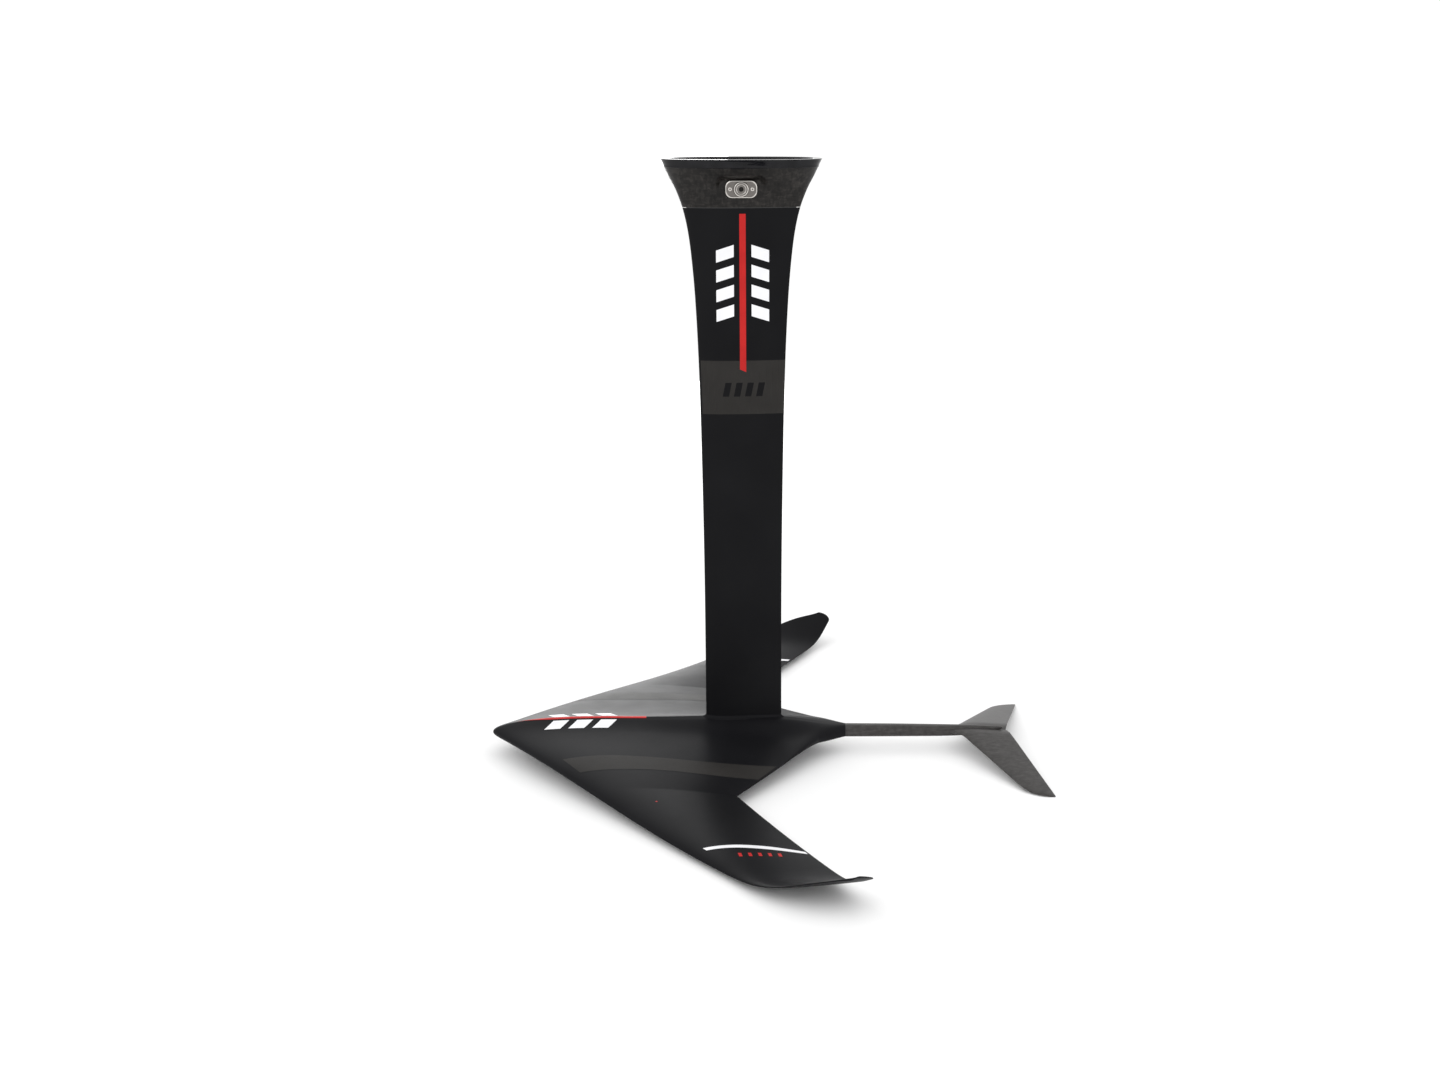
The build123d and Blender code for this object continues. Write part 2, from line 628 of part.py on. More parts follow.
with BuildPart() as stabiliser:
    for y in [-s for s in TAIL_STATIONS[:0:-1]] + list(TAIL_STATIONS):
        s = abs(y)
        start = tail_leading(s)
        chord = tail_trailing(s) - start
        middle = TAIL_Z - TAIL_ANHEDRAL * s
        half = max(TAIL_SHARE * chord, TAIL_LEAST_HALF)
        upper = []
        for f in spread(OUTLINE_POINTS + 1):
            upper.append((start + chord * f, middle + max(half * foil_height(f), TAIL_EDGE_HALF)))
        lower = [(x, 2 * middle - z) for x, z in upper]
        with BuildSketch(Plane.XZ.offset(y)):
            with BuildLine():
                Spline(*upper[:0:-1], (start, middle), *lower[1:])
                Line(lower[-1], upper[-1])
            make_face()
    loft(ruled=True)

with BuildPart() as tail_unit:
    add(pod(BOOM_STATIONS))
    add(stabiliser.part)
    with Locations((JOINT_X + (SEAL + TONGUE_ROOT - TONGUE[0]) / 2, 0, TONGUE_Z)):
        Box(TONGUE[0] + SEAL + TONGUE_ROOT, TONGUE[1], TONGUE[2])
    for x in TAIL_SCREW_X:
        post(x, TAIL_SCREW[3], TONGUE_Z - OUTSIDE, TONGUE_Z + TONGUE_THREAD, Mode.SUBTRACT)
tail_unit.part.label = "tail_unit"

with BuildPart() as tail_inserts:
    for x in TAIL_SCREW_X:
        insert(x, TAIL_SCREW, TONGUE_Z - TONGUE[2] / 2, TONGUE_Z + TONGUE_THREAD)
tail_inserts.part.label = "tail_inserts"

with BuildPart() as tail_sleeve:
    add(sleeve_room.part)
    with Locations((JOINT_X - TONGUE[0] / 2 + SLEEVE, 0, TONGUE_Z)):
        Box(TONGUE[0] + 2 * SLEEVE_END, TONGUE[1] + 2 * FIT, TONGUE[2] + 2 * FIT, mode=Mode.SUBTRACT)
    for x in TAIL_SCREW_X:
        post(x, TAIL_SCREW[0] + SHANK_PLAY, TONGUE_Z - OUTSIDE, TONGUE_Z, Mode.SUBTRACT)
tail_sleeve.part.label = "tail_sleeve"

with BuildPart() as joint_seal:
    with BuildSketch(Plane.YZ.offset(JOINT_X)):
        with BuildLine():
            Spline(*pod_ring(*neck_station(JOINT_X)[1:]), periodic=True)
        make_face()
        with Locations((0, TONGUE_Z)):
            Rectangle(TONGUE[1] + SEAL_FIT, TONGUE[2] + SEAL_FIT, mode=Mode.SUBTRACT)
    extrude(amount=SEAL)
joint_seal.part.label = "joint_seal"

with BuildPart() as tail_screws:
    for x in TAIL_SCREW_X:
        screw(x, TAIL_SCREW, TONGUE_Z + TIP_GAP)
tail_screws.part.label = "tail_screws"

with BuildPart() as tail_cups:
    for x in TAIL_SCREW_X:
        cup(x, TAIL_SCREW)
tail_cups.part.label = "tail_cups"

pieces = (
    head_rim, head_collar, collar_seam, lock_plate_near, lock_plate_far, lock_pins, barrel_nut,
    mast_skin, mast_core_front, mast_core_rear, mast_web, mast_foot, mast_inserts, front_wing,
    wing_keel, wing_web_near, wing_web_far, wing_core_near, wing_core_far, mast_screws, mast_cups,
    tail_unit, tail_inserts, tail_sleeve, joint_seal, tail_screws, tail_cups,
)
for piece in pieces:
    export_step(piece.part, f"parts/{piece.part.label}.step")
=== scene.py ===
"""Looks of the hydrofoil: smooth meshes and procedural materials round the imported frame."""

import json
import math

import bmesh
import bpy
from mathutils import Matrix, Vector


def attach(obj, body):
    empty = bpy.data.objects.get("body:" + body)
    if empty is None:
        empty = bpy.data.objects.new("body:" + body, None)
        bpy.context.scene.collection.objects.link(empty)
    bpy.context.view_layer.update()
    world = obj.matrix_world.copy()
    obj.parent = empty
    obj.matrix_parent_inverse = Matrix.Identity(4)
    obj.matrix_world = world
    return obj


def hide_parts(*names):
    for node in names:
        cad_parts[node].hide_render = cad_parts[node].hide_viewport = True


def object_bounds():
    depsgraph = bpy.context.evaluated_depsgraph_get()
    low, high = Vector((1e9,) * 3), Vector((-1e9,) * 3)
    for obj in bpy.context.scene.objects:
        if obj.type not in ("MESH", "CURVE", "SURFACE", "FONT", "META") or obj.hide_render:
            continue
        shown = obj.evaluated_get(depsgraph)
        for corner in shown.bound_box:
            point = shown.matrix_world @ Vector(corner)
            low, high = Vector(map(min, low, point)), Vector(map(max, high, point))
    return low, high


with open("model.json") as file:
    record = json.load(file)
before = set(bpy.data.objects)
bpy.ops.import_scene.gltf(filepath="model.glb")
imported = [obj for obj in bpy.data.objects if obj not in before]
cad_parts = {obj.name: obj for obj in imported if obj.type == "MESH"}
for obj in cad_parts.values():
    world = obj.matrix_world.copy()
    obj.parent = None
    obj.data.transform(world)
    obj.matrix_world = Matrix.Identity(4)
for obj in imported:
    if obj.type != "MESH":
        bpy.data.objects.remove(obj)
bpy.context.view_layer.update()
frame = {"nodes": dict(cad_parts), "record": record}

MM = 0.001

# ---- sizes in millimetres, the same as the frame's ----------------------------------------------
MAST_STATIONS = (            # depth, half chord, half thickness, share of oval
    (0.0, 113.5, 50.0, 1.0),
    (12.0, 107.7, 43.0, 1.0),
    (25.0, 101.5, 34.5, 0.9),
    (41.0, 93.2, 25.5, 0.75),
    (67.0, 83.3, 16.8, 0.4),
    (99.0, 76.0, 12.6, 0.15),
    (141.0, 70.7, 10.6, 0.0),
    (198.0, 66.3, 9.4, 0.0),
    (284.0, 62.5, 8.5, 0.0),
    (400.0, 59.7, 7.8, 0.0),
    (600.0, 57.3, 7.4, 0.0),
    (840.0, 57.0, 7.3, 0.0),
)
OVAL_POWER = 2.5
EDGE_HALF = 0.6
RIM_HEIGHT = 12.0
COLLAR_DEPTH = 67.0
BLADE_TOP = 67.8
BLADE_FOOT = 832.4
SOCKET_MOUTH = (101.0, 38.0)
SOCKET_FLOOR = (84.0, 25.0)
SOCKET_DEPTH = 22.0
BOLT_HOLE = 5.5
BARREL_DEPTH = 41.5
BARREL_TOP = 29.5
PLATE = (44.5, 24.2, 9.0)
PLATE_SEAT = 20.0
PLATE_FACE = 23.0
PLATE_HOLE = 10.56
PLATE_POINTS = 96
PIN_X = 15.6
PIN_RADIUS = 2.9
WELL = (33.0, 16.5, 12.0)
WELL_DEPTH = 42.5

HALF_SPAN = 536.0
TIP_END = 535.5
NOSE_X = -381.0
NOSE_ROUND = 4.0
SWEEP = 0.819
KINK = (212.0, -11.0)
OUTER_SWEEP = 0.545
INNER_SWEEP = 0.72
TIP_START = 440.0
TIP_RAKE = 86.0
TIP_RAKE_POWER = 4.2
TIP_CORNER = (24.0, 15.0)
ROOT_Z = -852.0
DROOP = 26.0
DROOP_SPAN = 400.0
JOINT_X = 154.4
NECK_HALF = 9.6
NECK_SIDE = 44.0
NECK_CURVE = 1.275
NECK_START = 40.0
TIP_RISE = 38.0
TIP_RISE_POWER = 4.0
EDGE_DROOP = 24.0
EDGE_DROOP_POWER = 1.1
EDGE_RISE = (478.0, 12.0, 0.70)  # trailing edge: where it turns up, how softly, and its slope after
UPPER_SHARE = (0.030, 0.028)
LOWER_SHARE = 0.040
THIN_START = 380.0
THIN_LOSS = 0.55
RIDGE = (7.0, 28.0)
LEAST_HEIGHT = 0.9
SPINE = (8.0, 22.0)
SADDLE_RISE = (12.0, -180.0, 255.0)  # height, where it starts, and its length
SADDLE_FALL = (4.7, 60.0, 94.0)
KEEL_RISE = (11.0, -280.0, 230.0)
KEEL_FALL = (0.4, 50.0, 100.0)

BOOM_STATIONS = (            # aft, half width, top, bottom, corner power
    (155.0, 9.6, -844.1, -863.2, 2.8),
    (235.0, 9.0, -845.2, -863.6, 2.8),
    (318.0, 8.2, -847.0, -863.6, 2.6),
    (350.0, 6.8, -847.6, -861.4, 2.4),
    (392.0, 2.4, -850.0, -854.4, 2.2),
)
TAIL_ROOT = (321.0, 400.5)
TAIL_SWEEP = (0.49, 0.241)
TAIL_Z = -851.6
TAIL_ANHEDRAL = 0.184
TAIL_TIP_START = 150.0
TAIL_HALF_SPAN = 186.5
TAIL_END = 186.0
TAIL_RAKE = 30.6
TAIL_FILLET = (26.0, 26.0)   # how far the root's leading edge runs forward, and over what width
ROOT_DROP = 4.0              # how far the stabiliser's root sinks into the boom

PAINT_LIFT = 0.15            # how far a painted mark stands off its surface
BAND_LIFT = 0.10             # the same for the mast's grey band, which lies under its ticks
STRIPE_LIFT = 0.2            # the same for the red stripe on the wing's ridge
RIM_LIP = ((0.0, 0.5), (0.5, 0.7), (1.2, 0.6), (2.2, 0.2))  # height over the rim's foot, stand-out
CLOSE_SET = (0.24, 0.76)     # share of the head's chord where points are close, for the scoops
BAR_COUNT = 4
BAR_TOP = -119.0
BAR_PITCH = 28.0
BAR_SLANT = 8.0
BAR_HEIGHT = 17.0
BAR_LEFT = (-36.0, -11.0)
BAR_RIGHT = (14.0, 39.0)
BAND = (-284.0, -362.0)      # top and bottom of the mast's grey band
TICK_LEVELS = (-316.0, -336.0)
RIDGE_STRIPE = (-344.0, -148.0)
STRIPE_HALF = 4.0
STRIPE_TAPER = 60.0
DOT = (-122.2, -250.2)       # the small red dot on the near half of the wing
DOT_RADIUS = 1.3
FLOOR_SIZE = 40.0            # metres
FLOOR_GAP = 0.0005           # metres between the floor and the lowest point of the frame
SKY_STRENGTH = 1.08

# Edges of the wing's painted ribbons, as (aft, outboard) places.
SWEEP_AHEAD = (
    (-264.0, 121.0), (-206.0, 116.0), (-140.0, 119.0), (-60.0, 126.0), (0.0, 127.5), (47.0, 124.5),
)
SWEEP_BEHIND = (
    (-235.0, 161.0), (-180.0, 158.0), (-115.0, 158.5), (-60.0, 163.0), (-18.0, 165.5), (20.0, 164.5),
)
LINE_INNER = (
    (-56.0, 378.5), (-30.0, 374.5), (-5.0, 372.5), (30.0, 374.0), (60.0, 378.5), (79.0, 382.0),
)
LINE_OUTER = (
    (-51.0, 385.0), (-28.5, 382.2), (-5.0, 381.0), (33.0, 383.2), (61.0, 386.6), (82.0, 388.8),
)


# ---- small helpers ------------------------------------------------------------------------------
def smooth(value):
    held = min(max(value, 0.0), 1.0)
    return held * held * (3.0 - 2.0 * held)


def mix(a, b, share):
    return a + (b - a) * share


def spread(count):
    """Numbers from 0 to 1, close together at both ends."""
    return [0.5 - 0.5 * math.cos(math.pi * i / (count - 1)) for i in range(count)]


def even(low, high, count):
    return [low + (high - low) * i / (count - 1) for i in range(count)]


def foil_height(f):
    """Half thickness of a foil along its chord, with its highest point scaled to 1."""
    f = min(max(f, 0.0), 1.0)
    raw = 0.2969 * math.sqrt(f) - 0.1260 * f - 0.3516 * f**2 + 0.2843 * f**3 - 0.1036 * f**4
    return raw / 0.1


def oval_height(f):
    return max(0.0, 1.0 - abs(2.0 * f - 1.0) ** OVAL_POWER) ** (1.0 / OVAL_POWER)


def through(stations, at):
    """Sizes at a place along a list of stations, smooth through them."""
    last = len(stations) - 1
    at = min(max(at, stations[0][0]), stations[last][0])
    i = min(max(j for j in range(last + 1) if stations[j][0] <= at), last - 1)
    low, high = stations[i], stations[i + 1]
    before, after = stations[max(i - 1, 0)], stations[min(i + 2, last)]
    width = high[0] - low[0]
    u = (at - low[0]) / width
    sizes = []
    for k in range(1, len(low)):
        rise_in = width * (high[k] - before[k]) / (high[0] - before[0])
        rise_out = width * (after[k] - low[k]) / (after[0] - low[0])
        ends = low[k] * (2 * u**3 - 3 * u**2 + 1) + high[k] * (3 * u**2 - 2 * u**3)
        sizes.append(ends + rise_in * (u**3 - 2 * u**2 + u) + rise_out * (u**3 - u**2))
    return sizes


def piece(name, points, faces, material, slot=None, body="foil", auto_smooth=40.0):
    """A mesh in the row frame, made from points in millimetres, that rides on a body."""
    mesh = bpy.data.meshes.new(name)
    mesh.from_pydata([Vector(p) * MM for p in points], [], faces)
    mesh.validate()
    mesh.materials.append(material)
    obj = bpy.data.objects.new(name, mesh)
    bpy.context.scene.collection.objects.link(obj)
    tidy(obj, auto_smooth)
    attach(obj, body)
    return obj


def tidy(obj, auto_smooth):
    """Merges doubled points, faces everything outwards and smooths all but sharp edges."""
    bm = bmesh.new()
    bm.from_mesh(obj.data)
    bmesh.ops.remove_doubles(bm, verts=bm.verts, dist=0.000002)
    bmesh.ops.recalc_face_normals(bm, faces=bm.faces)
    for face in bm.faces:
        face.smooth = True
    limit = math.radians(auto_smooth)
    for edge in bm.edges:
        edge.smooth = len(edge.link_faces) != 2 or edge.calc_face_angle(0.0) < limit
    bm.to_mesh(obj.data)
    bm.free()


def strips(rows, closed):
    """Points and quads of a surface given as rows of equal length."""
    count = len(rows[0])
    points = [p for row in rows for p in row]
    faces = []
    for r in range(len(rows) - 1):
        for i in range(count if closed else count - 1):
            j = (i + 1) % count
            faces.append((r * count + i, r * count + j, (r + 1) * count + j, (r + 1) * count + i))
    return points, faces


def join(*surfaces):
    """Several (points, faces) surfaces as one."""
    points, faces = [], []
    for more_points, more_faces in surfaces:
        start = len(points)
        points += more_points
        faces += [tuple(start + i for i in face) for face in more_faces]
    return points, faces


# ---- mast and head shapes -----------------------------------------------------------------------
HEAD_SPREAD = sorted({round(f, 5) for f in spread(60) + even(*CLOSE_SET, 120)})


def loop(half_chord, half_thick, oval, edge, fs):
    """Points round the mast at one level: aft edge, near side, nose, far side."""
    side = []
    for f in fs:
        shape = (1.0 - oval) * foil_height(f) + oval * oval_height(f)
        side.append((half_chord * (2.0 * f - 1.0), half_thick * shape + edge * f))
    near = [(x, -y) for x, y in reversed(side)]
    return near + side[1:]


def mast_loop(depth, fs):
    half_chord, half_thick, oval = through(MAST_STATIONS, depth)
    return [(x, y, -depth) for x, y in loop(half_chord, half_thick, oval, EDGE_HALF, fs)]


def mast_side(x, z):
    """Half thickness of the mast at a place on its side."""
    half_chord, half_thick, oval = through(MAST_STATIONS, -z)
    f = (x + half_chord) / (2.0 * half_chord)
    shape = (1.0 - oval) * foil_height(f) + oval * oval_height(f)
    return half_thick * shape + EDGE_HALF * f


def scooped(point):
    """A point of the collar, pushed in where the flat-bottomed scoop for the lock plate is."""
    x, y, z = point
    dx = max(abs(x) - WELL[0] + WELL[2], 0.0)
    dz = max(abs(z + WELL_DEPTH) - WELL[1] + WELL[2], 0.0)
    outside = math.hypot(dx, dz) - WELL[2]
    inside = smooth((5.0 - outside) / 9.0)
    flat = mix(abs(y), min(abs(y), PLATE_SEAT - 0.1), inside)
    return (x, math.copysign(flat, y), z)


def socket_loop(depth, fs):
    """Points round the open socket at one depth."""
    share = depth / SOCKET_DEPTH
    a = mix(SOCKET_MOUTH[0], SOCKET_FLOOR[0], share)
    b = mix(SOCKET_MOUTH[1], SOCKET_FLOOR[1], share)
    return [(x, y, -depth) for x, y in loop(a, b, 1.0, 0.0, fs)]


def shrunk_loop(size, inset, z, edge, fs):
    return [(x, y, z) for x, y in loop(size[0] - inset, size[1] - inset, 1.0, edge, fs)]


def circle_loop(radius, z, fs):
    side = [(radius * (2 * f - 1), radius * math.sqrt(max(0.0, 1 - (2 * f - 1) ** 2))) for f in fs]
    return [(x, -y, z) for x, y in reversed(side)] + [(x, y, z) for x, y in side[1:]]


def rim_mesh():
    """The glossy band: outside up, rounded top edge, and the upper wall of the socket."""
    fs = HEAD_SPREAD
    top = through(MAST_STATIONS, 0.0)
    rows = [mast_loop(RIM_HEIGHT, fs)]
    for height, lip in RIM_LIP:
        depth = RIM_HEIGHT - height
        half_chord, half_thick, oval = through(MAST_STATIONS, depth)
        around = loop(half_chord + lip, half_thick + lip, oval, EDGE_HALF, fs)
        rows.append([(x, y, -depth) for x, y in around])
    rows += [mast_loop(depth, fs) for depth in even(RIM_HEIGHT - 3.4, 1.6, 7)]
    for inset, z in ((0.25, -0.9), (0.6, -0.4), (1.3, -0.1), (2.4, 0.0)):
        rows.append(shrunk_loop(top, inset, z, EDGE_HALF, fs))
    for inset, z in ((-2.2, 0.0), (-1.0, -0.12), (-0.3, -0.5), (0.0, -1.2)):
        rows.append(shrunk_loop(SOCKET_MOUTH, inset, z, 0.0, fs))
    rows += [socket_loop(depth, fs) for depth in even(2.0, RIM_HEIGHT, 5)]
    rows.append(rows[0])
    return strips(rows, True)


def collar_mesh():
    """The forged part of the head: socket floor and wall inside, flare with its scoops outside.

    The bores for the nut and the pins aren't cut here; the plates cover where they would open.
    """
    fs = HEAD_SPREAD
    rows = [circle_loop(BOLT_HOLE, -depth, fs) for depth in (BARREL_TOP, SOCKET_DEPTH + 0.5)]
    rows.append(circle_loop(BOLT_HOLE + 0.6, -SOCKET_DEPTH, fs))
    for inset, z in ((2.6, 0.0), (1.2, 0.3), (0.3, 1.1)):
        rows.append(shrunk_loop(SOCKET_FLOOR, inset, -SOCKET_DEPTH + z, 0.0, fs))
    rows += [socket_loop(depth, fs) for depth in even(SOCKET_DEPTH - 2.2, RIM_HEIGHT, 5)]
    for depth in even(RIM_HEIGHT, COLLAR_DEPTH, 74):
        rows.append([scooped(p) for p in mast_loop(depth, fs)])
    rows.append([(x * 0.9, y * 0.5, z) for x, y, z in rows[-1]])
    return strips(rows, True)


def blade_mesh():
    fs = spread(44)
    depths = even(BLADE_TOP, 200.0, 34) + even(208.0, BLADE_FOOT, 60)
    return strips([mast_loop(depth, fs) for depth in depths], True)


def foot_bead_mesh():
    """The low bead of paint and filler where the mast meets the wing's spine."""
    fs = spread(44)
    rows = []
    for out, height in ((-0.4, 3.4), (0.4, 3.1), (1.3, 2.2), (2.6, 1.2), (4.2, 0.5), (5.8, 0.1), (6.4, -1.4)):
        row = []
        for x, y in loop(57.0 + out, 7.3 + out, 0.0, EDGE_HALF, fs):
            row.append((x, y, wing_height(x, abs(y), True) + height - 0.2))
        rows.append(row)
    return strips(rows, True)


# ---- wing shape ---------------------------------------------------------------------------------
def leading_x(s):
    line = NOSE_X - NOSE_ROUND + math.hypot(NOSE_ROUND, SWEEP * s)
    u = max(0.0, (s - TIP_START) / (HALF_SPAN - TIP_START))
    return line + TIP_RAKE * (1.0 - math.sqrt(max(0.0, 1.0 - u**TIP_RAKE_POWER)))


def trailing_x(s):
    corner = HALF_SPAN - TIP_CORNER[1]
    if s < NECK_SIDE:
        edge = KINK[1] + INNER_SWEEP * (KINK[0] - NECK_SIDE)
        t = max(0.0, (s - NECK_HALF) / (NECK_SIDE - NECK_HALF))
        return JOINT_X - (JOINT_X - edge) * (1.0 - (1.0 - t) ** NECK_CURVE)
    if s < KINK[0]:
        return KINK[1] + INNER_SWEEP * (KINK[0] - s)
    if s < corner:
        return KINK[1] + OUTER_SWEEP * (s - KINK[0])
    u = (s - corner) / TIP_CORNER[1]
    aft = KINK[1] + OUTER_SWEEP * (corner - KINK[0])
    return aft - TIP_CORNER[0] * (1.0 - math.sqrt(max(0.0, 1.0 - u * u)))


def leading_z(s):
    droop = DROOP * math.sin(math.pi / 2 * min(s / DROOP_SPAN, 1.0)) ** 2
    rise = TIP_RISE * max(0.0, (s - DROOP_SPAN) / (HALF_SPAN - DROOP_SPAN)) ** TIP_RISE_POWER
    return ROOT_Z - droop + rise


def trailing_z(s):
    turn, softness, incline = EDGE_RISE
    droop = EDGE_DROOP * math.sin(math.pi / 2 * min(s / DROOP_SPAN, 1.0)) ** EDGE_DROOP_POWER
    rise = incline * softness * math.log1p(math.exp((s - turn) / softness))
    return ROOT_Z - droop + rise


def thickness(s, upper):
    share = UPPER_SHARE[0] + UPPER_SHARE[1] * min(s / KINK[0], 1.0) ** 2 if upper else LOWER_SHARE
    thin = 1.0 - THIN_LOSS * smooth((s - THIN_START) / (HALF_SPAN - THIN_START))
    ridge = RIDGE[0] * math.exp(-s / RIDGE[1]) if upper else 0.0
    return max(share * (trailing_x(s) - leading_x(s)) * thin + ridge, LEAST_HEIGHT)


def slope(x, shape):
    height, start, length = shape
    return height * smooth((x - start) / length)


def saddle(x, s, upper):
    """The raised spine that carries the mast, and the keel below it."""
    across = math.exp(-((max(s - SPINE[0], 0.0) / SPINE[1]) ** 2))
    if upper:
        return (slope(x, SADDLE_RISE) - slope(x, SADDLE_FALL)) * across
    return (slope(x, KEEL_RISE) - slope(x, KEEL_FALL)) * across


def wing_height(x, s, upper):
    """Height of the wing's upper or lower face."""
    start, end = leading_x(s), trailing_x(s)
    f = min(max((x - start) / (end - start), 0.0), 1.0)
    rise = thickness(s, upper) * foil_height(f) + EDGE_HALF * f + saddle(x, s, upper)
    middle = mix(leading_z(s), trailing_z(s), f)
    return middle + rise if upper else middle - rise


def neck_half_width(x):
    """Half width of the plan behind the mast, by halving until the edge is found."""
    low, high = NECK_HALF, KINK[0]
    if x >= JOINT_X:
        return NECK_HALF
    for _ in range(40):
        middle = (low + high) / 2
        if trailing_x(middle) > x:
            low = middle
        else:
            high = middle
    return low


def neck_height(x, s, half_width, upper):
    """Height of the neck: wing surface ahead, turning into the boom's squared-off oval."""
    share = smooth((x - NECK_START) / (JOINT_X - NECK_START)) ** 1.2
    top, bottom = wing_height(x, 0.0, True), wing_height(x, 0.0, False)
    middle = (top + bottom) / 2
    t = min(s / half_width, 1.0)
    power = 2.8
    round_part = (top - bottom) / 2 * max(0.0, 1.0 - t**power) ** (1.0 / power)
    round_height = middle + round_part if upper else middle - round_part
    return mix(wing_height(x, min(s, half_width), upper), round_height, share)


def wing_mesh():
    """The whole wing: rows from nose to trailing edge, and a neck patch that shares their last points."""
    near_rows = [s for s in even(0.0, neck_half_width(NECK_START), 60)]
    mid_rows = even(near_rows[-1] + 2.5, 470.0, 120)
    tip_rows = [470.0 + (TIP_END - 470.0) * math.sin(math.pi / 2 * u) for u in even(0.03, 1.0, 42)]
    stations = near_rows + mid_rows + tip_rows
    both = [-s for s in stations[:0:-1]] + stations
    fs = spread(56)
    surfaces = []
    for upper in (True, False):
        rows = []
        for y in both:
            s = abs(y)
            start = leading_x(s)
            end = NECK_START if s <= near_rows[-1] else trailing_x(s)
            rows.append([(mix(start, end, f), y, wing_height(mix(start, end, f), s, upper)) for f in fs])
        for row in rows:
            x, y, _ = row[0]
            row[0] = (x, y, leading_z(abs(y)))
        surfaces.append(strips(rows, False))
    for upper in (True, False):
        rows = []
        for x in even(NECK_START, JOINT_X, 60):
            half_width = neck_half_width(x)
            row = []
            for y in [-s for s in near_rows[:0:-1]] + near_rows:
                t = y / near_rows[-1]
                row.append((x, t * half_width, neck_height(x, abs(t) * half_width, half_width, upper)))
            rows.append(row)
        surfaces.append(strips(rows, False))
    edge = []
    for side in (-1, 1):
        upper_edge, lower_edge = [], []
        for s in near_rows[-1:] + mid_rows + tip_rows:
            x = trailing_x(s)
            x = NECK_START if s == near_rows[-1] else x
            upper_edge.append((x, side * s, wing_height(x, s, True)))
            lower_edge.append((x, side * s, wing_height(x, s, False)))
        edge.append(strips([upper_edge, lower_edge], False))
        upper_edge, lower_edge = [], []
        for x in even(NECK_START, JOINT_X, 60):
            w = neck_half_width(x)
            upper_edge.append((x, side * w, neck_height(x, w, w, True)))
            lower_edge.append((x, side * w, neck_height(x, w, w, False)))
        edge.append(strips([upper_edge, lower_edge], False))
        xs = [mix(leading_x(TIP_END), trailing_x(TIP_END), f) for f in fs]
        top = [(x, side * TIP_END, wing_height(x, TIP_END, True)) for x in xs]
        low = [(x, side * TIP_END, wing_height(x, TIP_END, False)) for x in xs]
        top[0] = low[0] = (xs[0], side * TIP_END, leading_z(TIP_END))
        edge.append(strips([top, low], False))
    return join(*surfaces, *edge)


# ---- tail shape ---------------------------------------------------------------------------------
def pod_loop(x, half_width, top, bottom, power, count=48):
    middle, half_height = (top + bottom) / 2, (top - bottom) / 2
    points = []
    for i in range(count):
        angle = 2 * math.pi * i / count
        c, s = math.cos(angle), math.sin(angle)
        y = half_width * math.copysign(abs(c) ** (2 / power), c)
        points.append((x, y, middle + half_height * math.copysign(abs(s) ** (2 / power), s)))
    return points


def boom_mesh():
    rows = [pod_loop(x, *through(BOOM_STATIONS, x)) for x in even(155.0, 392.0, 70)]
    tip = rows[-1]
    rows.append([(x + 3.0, y * 0.5, mix(-851.8, z, 0.5)) for x, y, z in tip])
    rows.append([(x + 3.6, 0.0, -851.8) for x, _, _ in tip])
    return strips(rows, True)


def tail_leading(s):
    u = max(0.0, (s - TAIL_TIP_START) / (TAIL_HALF_SPAN - TAIL_TIP_START))
    fillet = TAIL_FILLET[0] * max(0.0, 1.0 - s / TAIL_FILLET[1]) ** 2
    line = TAIL_ROOT[0] + TAIL_SWEEP[0] * s - fillet
    return line + TAIL_RAKE * (1.0 - math.sqrt(max(0.0, 1.0 - u**3)))


def stabiliser_mesh():
    inner = even(0.0, 150.0, 50)
    outer = [150.0 + (TAIL_END - 150.0) * math.sin(math.pi / 2 * u) for u in even(0.05, 1.0, 26)]
    stations = inner + outer
    fs = spread(36)
    rows = []
    for y in [-s for s in stations[:0:-1]] + stations:
        s = abs(y)
        start = tail_leading(s)
        chord = TAIL_ROOT[1] + TAIL_SWEEP[1] * s - start
        ease = math.hypot(s, 9.0) - 9.0
        middle = TAIL_Z - TAIL_ANHEDRAL * ease - 0.9 - ROOT_DROP * max(0.0, 1.0 - s / TAIL_FILLET[1]) ** 2
        half = max(0.045 * chord, 0.6)
        upper = [(start + chord * f, y, middle + half * foil_height(f) + 0.45 * f) for f in fs]
        lower = [(x, y, 2 * middle - z) for x, _, z in upper]
        rows.append(upper[::-1] + lower[1:])
    count = len(rows[0])
    points, faces = strips(rows, True)
    last = len(rows) - 1
    faces.append(tuple(range(count)))
    faces.append(tuple(last * count + i for i in reversed(range(count))))
    return points, faces


